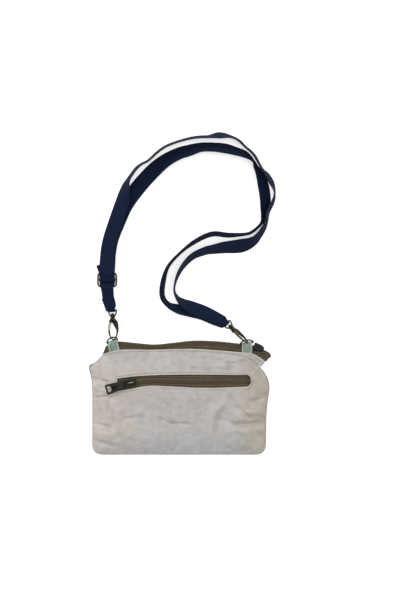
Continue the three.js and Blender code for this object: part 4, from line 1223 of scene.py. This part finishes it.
def slider_shell():
    """A tapered block and a bridge: superellipse sections along X, narrower at the nose."""
    x = np.array([-1, -0.97, -0.9, -0.5, 0, 0.35, 0.6, 0.8, 0.92, 0.98, 1]) * SLIDER_LENGTH / 2
    wide = np.array([0.8, 0.93, 1, 1, 1, 0.98, 0.88, 0.74, 0.6, 0.48, 0.3]) * SLIDER_WIDTH
    tall = np.array([0.8, 0.93, 1, 1, 1, 1, 1, 1, 0.93, 0.82, 0.6]) * SLIDER_HEIGHT
    rings = []
    for at, w, h in zip(x, wide, tall):
        loop = superloop(w, h, 5, SHELL_SIDES)
        rings.append(xyz(at, loop[:, 0], loop[:, 1] + SLIDER_HEIGHT / 2))
    body = np.concatenate(rings), skin(len(rings), SHELL_SIDES)
    span, top = BRIDGE_SPAN / 2, SLIDER_HEIGHT
    arch_x = np.array([-span, -span, 0, span, span])
    arch_z = top + np.array([-1, BRIDGE_SHOULDER, BRIDGE_RISE, BRIDGE_SHOULDER, -1])
    arch = rod(flow(xyz(arch_x, 0, arch_z), 6), BRIDGE_WIRE, np.array([0.0, 1.0, 0.0]), 12)
    return merged(body, arch)


def pull_plate(length):
    """A neck ring round the slot and a flared ring round the D hole, along -X from the pivot bar."""
    start = PULL_BAR / 2
    neck_length = PULL_SLOT + 2 * PULL_BAR
    neck_outer = superloop(neck_length, PULL_NECK, 7) - (neck_length / 2 - start, 0)
    neck_inner = superloop(PULL_SLOT, PULL_SLOT_WIDTH, 7) - (neck_length / 2 - start, 0)
    neck = plate(neck_outer, neck_inner, PULL_THICKNESS, PULL_BEVEL)
    angle = round_angles(PULL_SIDES)
    near, far = -PULL_SLOT - PULL_BAR - 0.4, -length - 0.6
    loop = superloop(1.0, 1.0, 11, PULL_SIDES)
    along = 0.5 - loop[:, 0]
    x = near + (far - near) * along
    flare = PULL_NECK + (PULL_FLARE - PULL_NECK) * along**0.7
    outer = np.stack([x, flare * loop[:, 1]], axis=1)
    eye_x = -length + EYE_INSET + EYE_LENGTH * np.clip(np.cos(angle), -0.25, 1)
    inner = np.stack([eye_x + 0.4, EYE_HALF * np.sin(angle)], axis=1)
    return merged(neck, plate(outer, inner, PULL_THICKNESS, PULL_BEVEL))


print("slider", len(slider_shell()[0]), "points, pull", len(pull_plate(PULL_LENGTH)[0]), "points")

# %% Set the sliders and pulls in place
POCKET_SLIDER_TURN = 10
PULL_DIP = 4.5
TOP_SLIDER_AT = (103, 80.6, 5.5)
TOP_SLIDER_TURN = -24
TOP_PULL_AT = (108.6, 74.3, 1.5)
TOP_PULL_TURN = -5.6
TOP_PULL_LENGTH = 28


def level_axes(turn):
    """X, Y and Z axes turned about Z by a number of degrees."""
    c, s = np.cos(np.radians(turn)), np.sin(np.radians(turn))
    return np.array([c, s, 0]), np.array([-s, c, 0]), UP


def sliders_and_pulls():
    """Both sliders and pulls, the pocket pull laid from its hinge with a dip of PULL_DIP degrees."""
    joint = JOINTS["pocket_pull_hinge"]
    pivot = np.array(joint["pos_m"]) / MM
    seat = pivot - (0, 0, SLIDER_HEIGHT + PIVOT_RISE)
    shell, shell_quads = slider_shell()
    pull, pull_quads = pull_plate(PULL_LENGTH)
    across = unit(np.array(joint["axis"], float))
    flat = np.cross(across, UP)
    along = flat * np.cos(np.radians(PULL_DIP)) + UP * np.sin(np.radians(PULL_DIP))
    local = placed(shell, seat, *level_axes(POCKET_SLIDER_TURN))
    # Painted highlight on the top of the bridge
    highlight = {"highlight": 0.8 * (shell[:, 2] > SLIDER_HEIGHT + BRIDGE_RISE * 0.7)}
    make_piece("pocket_slider", local, shell_quads, GUNMETAL, "dark_metal",
               nodes=["pocket_zip_slider"], values=highlight, sharp=METAL_EDGE)
    local = placed(pull, pivot, along, across, np.cross(along, across))
    make_piece("pocket_pull_plate", local, pull_quads, GUNMETAL, "dark_metal",
               "pocket_pull", ["pocket_zip_pull"], sharp=METAL_EDGE)
    local = placed(shell, TOP_SLIDER_AT, *level_axes(TOP_SLIDER_TURN))
    make_piece("top_slider", local, shell_quads, GUNMETAL, "dark_metal",
               nodes=["top_zip_slider"], sharp=METAL_EDGE)
    pull, pull_quads = pull_plate(TOP_PULL_LENGTH)
    local = placed(pull, TOP_PULL_AT, *level_axes(TOP_PULL_TURN))
    make_piece("top_pull_plate", local, pull_quads, GUNMETAL, "dark_metal",
               nodes=["top_zip_pull"], sharp=METAL_EDGE)


sliders_and_pulls()

# %% [markdown]
# ## Rings, tabs and hooks
# Each end of the strap clips to a D ring, which a folded ribbon holds to the bag. The ring is a round
# wire bent in a plane, a little stouter at its feet. The hook is a wire eye on a swivel post, with a
# sprung gate on one side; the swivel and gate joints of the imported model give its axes.

# %% Tables for the two sides
RING_WIRE = 0.95
RING_FOOT = 1.2
RING_HALF = 8
RING_RISE = 6.3
RING_LEG = 1.2
RING_SLIMS = (3.2, 0.7)
TAB_WIDTH = 13
TAB_TUCK = 5
TAB_STITCHES = 2.6, 2.0, 0.4
TAB_LINES = -0.25, 0.3
SLOPE_REACH = 6
SIDES = {
    "left": {"tab": (-82.4, 75.6, 17), "ring": (-86.3, 87.8, 9.4), "yaw": 15, "pitch": 28, "roll": 34},
    "right": {"tab": (87.8, 73.4, 2), "ring": (88, 85.8, 8.4), "yaw": 10, "pitch": 44, "roll": -10},
}


def turn_matrix(yaw, pitch, roll):
    """Columns are the turned axes: pitch about X first, then roll about Y, then yaw about Z."""
    (cy, sy), (cp, sp), (cr, sr) = ((np.cos(a), np.sin(a)) for a in np.radians([yaw, pitch, roll]))
    about_z = np.array([[cy, -sy, 0], [sy, cy, 0], [0, 0, 1]])
    about_y = np.array([[cr, 0, sr], [0, 1, 0], [-sr, 0, cr]])
    about_x = np.array([[1, 0, 0], [0, cp, -sp], [0, sp, cp]])
    return about_z @ about_y @ about_x


print("sides:", list(SIDES))

# %% Rings and tabs


def ring_and_tab(side, row):
    """A D of wire round its bar, and a ribbon up one leg, half round the bar and down the other leg."""
    axes = turn_matrix(row["yaw"], row["pitch"], row["roll"]).T
    bar = np.array(row["ring"], float)
    angle = np.linspace(0, np.pi, 9)
    bow = xyz(RING_HALF * np.cos(angle), RING_LEG + (RING_RISE - RING_LEG) * np.sin(angle), 0)
    straight = xyz(RING_HALF * np.array([-0.75, -0.3, 0.3, 0.75]), 0, 0)
    path = flow(np.concatenate([bow, straight]), 5, loop=True)
    girth = RING_WIRE + (RING_FOOT - RING_WIRE) * ramp(path[:, 1], *RING_SLIMS)
    points, quads = rod(path, girth, UP, 14, loop=True)
    points = placed(points, bar, *axes)
    make_piece(f"{side}_d_ring", points, quads, GUNMETAL, "dark_metal", nodes=[f"{side}_ring"])

    tab_x, tab_y, lean = row["tab"]
    slope = (hem_top(tab_x + SLOPE_REACH) - hem_top(tab_x - SLOPE_REACH)) / (2 * SLOPE_REACH)
    level = float(tape_top(tab_x)) + GAP + RIBBON / 2
    hem_across = unit(np.array([-1, 0, -float(slope)])) @ turn_matrix(lean, 0, 0).T
    bar_across = -axes[0]
    foot = np.array([tab_x, tab_y - TAB_TUCK, level])
    rise = bar - foot
    rise = unit(rise - rise @ bar_across * bar_across)
    out = np.cross(rise, bar_across)
    radius = RING_WIRE + GAP + RIBBON / 2
    clear = (TAB_TUCK + 1) / (bar[1] - foot[1])
    share = np.linspace(0, 0.94, 16)[:, None]

    def leg(layer):
        top = bar + layer * radius * out
        base = foot + (0, 0, RIBBON + GAP) * np.array(layer > 0)
        at = base + (top - base) * share
        at[:, 2:] = base[2] + (top[2] - base[2]) * ramp(share, clear, 1)
        return at, unit(hem_across + (bar_across - hem_across) * smooth(share) ** 2)

    angle = np.linspace(0, np.pi, 11)[:, None]
    over = bar + radius * (np.cos(angle) * out + np.sin(angle) * rise)
    (up_at, up_across), (down_at, down_across) = leg(1), leg(-1)
    at = np.concatenate([up_at, over, down_at[::-1]])
    across = np.concatenate([up_across, np.repeat(bar_across[None], len(over), 0), down_across[::-1]])
    points, quads, uv, v = band(at, across, TAB_WIDTH, RIBBON, 17)
    values = {"edge": ramp(np.abs(v), 0.36, 0.44)}
    piece = make_piece(f"{side}_ribbon_tab", points, quads, RIBBON_FINISH, "ribbon",
                       nodes=[f"{side}_tab"], uv=uv, values=values)
    along = tangents(at)
    normal = unit(np.cross(along, across))
    lines = []
    for place in TAB_LINES:
        line = (at + np.cross(normal, along) * TAB_WIDTH * place + normal * RIBBON / 2)[: len(up_at)]
        lines.append(stitch_row(line, *TAB_STITCHES))
    make_piece(f"{side}_tab_stitches", *merged(*lines), SAGE_THREAD, "ribbon")


for side, row in SIDES.items():
    ring_and_tab(side, row)

# %% Hooks
HOOK_WIRE = 1.8
HOOK_TIP = 0.88
HOOK_DEPTH = 1.5
GATE_WIRE = 1.9
GATE_TIP = 1.4
GATE_DEPTH = 0.75
WEB_HALF = 1.3
BAIL_WIRE = 0.9
BAIL_HALF = 5.2
BAIL_RISE = 7.5
POST_RADIUS = 1.2
COLLAR_BORE = POST_RADIUS + GAP
COLLAR_RADIUS = 3.4
COLLAR_SIDES = 24
COLLAR = [
    # radius, height
    (COLLAR_BORE, -2.2),
    (2.4, -2.1),
    (COLLAR_RADIUS, -1.7),
    (COLLAR_RADIUS, 0.8),
    (2.4, 1.25),
    (COLLAR_BORE, 1.3),
]
GATE_PIVOT = (-3, -7.4)
EAR_REACH = (1.4, 2.6)
EAR_OFF = 2.3
EAR_RADIUS = 1.6
EAR_DEPTH = 0.28
KNUCKLE_RADIUS = 1.3
KNUCKLE_HALF = 1.2
GATE_SIDES = 14
HIGHLIGHT_SIDE = 125
HOOK_EDGE = 60
HOOK_GIRTH = [(-27.5, HOOK_TIP), (-23, 1.15), (-18, 1.5), (-8, HOOK_WIRE)]
POST = [
    # radius, height
    (0.3, -6.6), (1.5, -6.4), (2.5, -5.8), (2.9, -5.1), (2.9, -3.3), (2.6, -2.8), (POST_RADIUS, -2.5),
    (POST_RADIUS, 1.6), (2.0, 1.6), (2.2, 1.9), (1.9, 2.7), (1.2, 3.1), (0.3, 3.2),
]
HOOK_PATH = [
    (0.6, -4.6, 0),
    (4.6, -8.5, 0),
    (5.9, -15, 0),
    (5.5, -22.8, 0),
    (3, -29.2, 0),
    (0, -31.3, 0),
    (-3, -29.2, 0),
    (-5.3, -24.6, 0),
    (-5.8, -19.8, 0),
]
HOOK_SHOULDER = [
    (-0.6, -5),
    (-0.6, -8.8),
    (0.8, -11.4),
    (4.4, -18.5),
    (5.4, -18.5),
    (5.9, -15),
    (4.6, -8.5),
    (2.6, -5),
]
BAIL_LEG = [
    (2.2, -0.4, 0),
    (BAIL_HALF - 0.9, 2.6, 0),
    (BAIL_HALF - 0.3, 5.2, 0),
    (BAIL_HALF, 6.6, 0),
    (BAIL_HALF - 1.1, BAIL_RISE, 0),
    (3, BAIL_RISE, 0),
]


def swivel_hook(side):
    """Eye, gate and bail along the swivel's axis; returns the bail's bar and the way to the eye."""
    swivel, gate = JOINTS[f"{side}_swivel"], JOINTS[f"{side}_gate_hinge"]
    barrel = np.array(swivel["pos_m"]) / MM
    length, face = unit(np.array(swivel["axis"], float)), unit(np.array(gate["axis"], float))
    eye_axes = unit(np.cross(length, face)), length, face
    level = unit(np.cross(length, UP))
    bail_axes = level, length, np.cross(level, length)

    def brass(name, axes, parts, **rest):
        points, quads = merged(*parts)
        points = placed(points, barrel, *axes)
        make_piece(f"{side}_{name}", points, quads, AGED_BRASS, "aged_brass", sharp=HOOK_EDGE, **rest)

    spine = flow(HOOK_PATH, 8)
    half_way = np.minimum(np.linspace(0, 2, len(spine)), 1)
    girth = np.interp(spine[:, 1], *np.transpose(HOOK_GIRTH))
    wire = rod(spine, girth, UP, 18, depth=HOOK_DEPTH + (1 - HOOK_DEPTH) * half_way)
    shoulder = flow(HOOK_SHOULDER, 4, loop=True)
    inner = shoulder.mean(axis=0) + (shoulder - shoulder.mean(axis=0)) * 0.86
    levels = ((inner, -1), (shoulder, -0.75), (shoulder, 0.75), (inner, 1))
    web = np.concatenate([xyz(*loop.T, z * WEB_HALF) for loop, z in levels])
    web = web, skin(len(levels), len(shoulder))
    post = turned(POST)
    ear = np.array([*GATE_PIVOT, 0.0]) + np.array([(*EAR_REACH, 0), (0, 0, 0)])
    ears = [rod(ear + (0, 0, z), EAR_RADIUS, UP, 14, depth=EAR_DEPTH) for z in (-EAR_OFF, EAR_OFF)]
    brass("swivel_eye", eye_axes, (wire, post, web, *ears), body=f"{side}_hook", nodes=[f"{side}_hook_body"])

    tongue = flow([(*GATE_PIVOT, 0), (-4.9, -12, 0), (-5.8, -17.7, 0)], 8)
    pin_ends = np.array([[*GATE_PIVOT, -KNUCKLE_HALF], [*GATE_PIVOT, KNUCKLE_HALF]])
    knuckle = rod(np.linspace(*pin_ends, 4), KNUCKLE_RADIUS, np.array([0.0, 1.0, 0.0]), 16)
    half_way = np.minimum(np.linspace(0, 2, len(tongue)), 1)
    girth = GATE_WIRE + (GATE_TIP - GATE_WIRE) * half_way
    flat = rod(tongue, girth, UP, GATE_SIDES, depth=GATE_DEPTH + (1 - GATE_DEPTH) * half_way)
    # Painted highlight: a pale streak along one side of the gate wire
    inward = ramp(np.cos(round_angles(GATE_SIDES) - np.radians(HIGHLIGHT_SIDE)), 0.55, 0.85)
    highlight = np.concatenate([np.tile(inward, len(flat[0]) // GATE_SIDES), np.zeros(len(knuckle[0]))])
    brass("sprung_gate", eye_axes, (flat, knuckle), body=f"{side}_gate", nodes=[f"{side}_hook_gate"],
          values={"highlight": highlight})

    leg = np.array(BAIL_LEG)
    bow = rod(flow(np.concatenate([leg, leg[::-1] * (-1, 1, 1)]), 6), BAIL_WIRE, UP, 14)
    collar = turned(COLLAR, COLLAR_SIDES)[0], skin(len(COLLAR), COLLAR_SIDES, loop=True)
    brass("strap_bail", bail_axes, (bow, collar), nodes=[f"{side}_hook_bail"])
    return barrel + length * BAIL_RISE, -length


BAIL_BARS = {side: swivel_hook(side) for side in SIDES}

# %% [markdown]
# ## Strap slider
# The strap's length is set by a flat three-bar buckle: a rounded frame with a bar across its middle.

# %% Strap slider
SLIDER_AT = np.array([-93, 168, 5.0])
FRAME_LENGTH = 20.4
FRAME_WIDTH = 26
FRAME_THICKNESS = 1.6
BAR = 2.4
RAIL = 2.2


def strap_slider():
    """A plate between two superellipses, with a rounded bar across it."""
    outer = superloop(FRAME_WIDTH, FRAME_LENGTH, 4.5, 96)
    inner = superloop(FRAME_WIDTH - 2 * RAIL, FRAME_LENGTH - 2 * BAR, 7, 96)
    rim = plate(outer, inner, FRAME_THICKNESS, 0.4)
    x = np.linspace(-1, 1, 5) * (FRAME_WIDTH / 2 - RAIL + 0.3)
    loop = superloop(BAR, FRAME_THICKNESS, 4, 20)
    bar = np.concatenate([xyz(at, *loop.T) for at in x])
    points, quads = merged(rim, (bar, skin(len(x), 20)))
    make_piece("three_bar_buckle", points + SLIDER_AT, quads, AGED_BRASS, "aged_brass",
               nodes=["strap_slider"], sharp=METAL_EDGE)


strap_slider()

# %% [markdown]
# ## Strap
# One length of webbing, sewn round the buckle's middle bar, runs out to the right hook, turns back
# through the buckle and ends round the left hook. Each table row gives the middle of the band in plan,
# how far it is rolled on its outer edge, how high its lower edge is above the ground, and its width.
# A row without a height lies on the ground, and a row without a width is full width. The band lies on
# its edge where it bends, as stiff webbing does.

# %% Strap tables
BAND = 20
BAND_END = 7.6
WEBBING = 1.3
EDGE_LIFT = 0.1
SEWN_END = [
    (-97.6, 189.3, -6, 3.9),
    (-95.2, 183, -5, 6.2),
    (-93.2, 177, 0, 7.8),
    (-93, 173.6, 0, 6.6),
    (-93, 171, 0, 3.9),
]
UPPER_STRAND = [
    (-93, 170.6, 0, 7),
    (-93, 173.6, 0, 8.9),
    (-93, 177.5, 0, 10.2),
    (-92.7, 184, 0, 9.2),
    (-92.5, 190, 0, 7.4),
    (-91.5, 205, 3, 3),
    (-88, 223, 10, 1.9),
    (-80.5, 246, 14, 2.2),
    (-73.5, 268, 26, 1.4),
    (-69.4, 285, 50),
    (-66.1, 295.9, 70),
    (-60.3, 305.1, 74),
    (-54.7, 312.3, 74),
    (-48.4, 317.3, 76),
    (-39.4, 322.1, 77),
    (-28.7, 332, 76),
    (-19, 339.1, 76),
    (-9.5, 343.5, 76),
    (3.4, 347.8, 76),
    (16.5, 351, 75),
    (26.9, 352.3, 74),
    (38.7, 352.7, 73),
    (52.5, 354.5, 61),
    (68, 352.3, 75),
    (78, 347.2, 76),
    (85.3, 340, 77),
    (97, 329, 76),
    (106.7, 312, 78),
    (114, 303.3, 70),
    (119.5, 293.1, 67),
    (123.4, 281, 82),
    (121.5, 269.5, 77),
    (114.9, 255, 76),
    (112.6, 242.5, 76),
    (108.8, 233.6, 70),
    (102.9, 224.9, 66),
    (95, 217.5, 54),
    (80, 212, 32),
    (59, 209.8, 44),
    (42, 207, 57),
    (33, 205, 61),
    (16, 197, 68),
    (1, 179, 77),
    (-6, 158, 86),
    (-3, 146, 78),
    (5, 138, 58),
    (16, 132.5, 36, 1, 19.4),
    (31, 126.4, 22, 2.3, 18.6),
    (46, 118.8, 9, 3, 17.4),
    (57.6, 113.2, 0, 4.2, 15.4),
]
LOWER_STRAND = [
    (-93, 158.6, 0, 6.4, 16.5),
    (-93, 161.6, 0, 5.5, 19),
    (-93, 165, 0, 1.8),
    (-93, 168, 0, 0.3),
    (-93, 171, 0, 1.6),
    (-93, 174.4, 0, 5.1),
    (-93, 177.6, 0, 6.2),
    (-92.7, 184, 0, 3.6),
    (-92.5, 190, 0, 1.6),
    (-91.5, 205, 0),
    (-87.5, 223, 6),
    (-79.5, 243, 6),
    (-69.5, 265, 3),
    (-54, 286.5, 2),
    (-35.3, 307.3, 8),
    (-17.8, 322, 26),
    (-0.5, 331.1, 34),
    (12.7, 335, 38),
    (28.3, 339.1, 48),
    (44, 339.3, 49),
    (58.8, 337.8, 46),
    (72, 334.3, 52),
    (84.6, 330, 58),
    (95.9, 321.2, 76),
    (99.6, 313, 68),
    (104.6, 304, 54),
    (108.6, 290.8, 43),
    (111.3, 273.9, 43),
    (110.8, 262, 52),
    (109.4, 249, 66),
    (105.4, 239.6, 80),
    (94.9, 230.2, 81),
    (85.5, 226.8, 82),
    (64, 225.5, 75),
    (43, 227, 74),
    (22, 218, 76),
    (2, 203, 82),
    (-14, 185, 80),
    (-20.5, 165, 73),
    (-21.5, 147, 72),
    (-14, 136, 70),
    (0, 130, 52),
    (15, 128, 34, 0.1, 19.4),
    (31, 124.4, 22, 0.1, 18.6),
    (46, 117.9, 9, 0.1, 17.4),
    (57.6, 112.9, 0, 0.5, 15.4),
]
LEFT_RUN = [
    (-92.4, 153.5, 0, 4.6, 15.6),
    (-91.8, 146, 0, 3.2, 15),
    (-90, 138.5, 0, 3.2, 15.2),
    (-88.2, 131.2, 0, 3.8, 14.4),
]
FOLDED_END = [
    (-88.2, 131.2, 0, 0.2, 14.4),
    (-90.8, 138.5, 0, 0.1, 14.8),
    (-93.8, 146.2, 0, 0.1, 14.8),
]
STEPS = 8


def strap_run(rows, facing):
    """Stations along a table: middle, direction across and width.

    Facing is 1 where the outer edge is left of travel, and -1 where it is right of it."""
    rows = np.array([(*row, *(EDGE_LIFT, BAND)[len(row) - 3 :]) for row in rows], float)
    route = flow(rows[:, :2], STEPS)
    roll, lift, width = flow(rows[:, 2:], STEPS, tension=0.4).T
    roll = np.radians(roll)
    along = tangents(xyz(*route.T, 0))
    outward_way = np.cross(UP, along) * facing
    across = outward_way * np.cos(roll)[:, None] - UP * np.sin(roll)[:, None]
    height = lift + width / 2 * np.abs(np.sin(roll)) + WEBBING / 2 * np.cos(roll)
    return np.column_stack([route, height, across, width])


def strap_turn(centre, bar_radius, towards, start_up, across, width):
    """Half a turn round a bar, from its upper face to its lower one or back."""
    radius = bar_radius + GAP + WEBBING / 2
    angle = np.linspace(0, np.pi, 12)[:, None]
    at = centre + radius * (start_up * np.cos(angle) * UP + np.sin(angle) * towards)
    return np.column_stack([at, np.repeat(across[None], 12, 0), np.full(12, width)])


def strap():
    """One band through all the tables, with half a turn round each bar between them."""
    down, left_way = np.array([0.0, -1.0, 0.0]), np.array([-1.0, 0.0, 0.0])
    ways = {side: unit(eye * (1, 1, 0)) for side, (_, eye) in BAIL_BARS.items()}
    right_across, left_across = np.cross(UP, ways["right"]), -np.cross(UP, ways["left"])
    stations = np.concatenate([
        strap_run(SEWN_END, -1),
        strap_turn(SLIDER_AT, BAR / 2 + GAP, down, -1, left_way, BAND),
        strap_run(UPPER_STRAND, 1),
        strap_turn(BAIL_BARS["right"][0], BAIL_WIRE, ways["right"], 1, right_across, BAND_END),
        strap_run(LOWER_STRAND[::-1], -1),
        strap_run(LEFT_RUN, -1),
        strap_turn(BAIL_BARS["left"][0], BAIL_WIRE, ways["left"], 1, left_across, BAND_END),
        strap_run(FOLDED_END, 1),
    ])
    at, across, width = stations[:, :3], stations[:, 3:6], stations[:, 6]
    points, quads, uv, _ = band(at, across, width, WEBBING, 13)
    piece = make_piece("navy_strap", points, quads, WEBBING_FINISH, "webbing", nodes=["strap"], uv=uv)


strap()
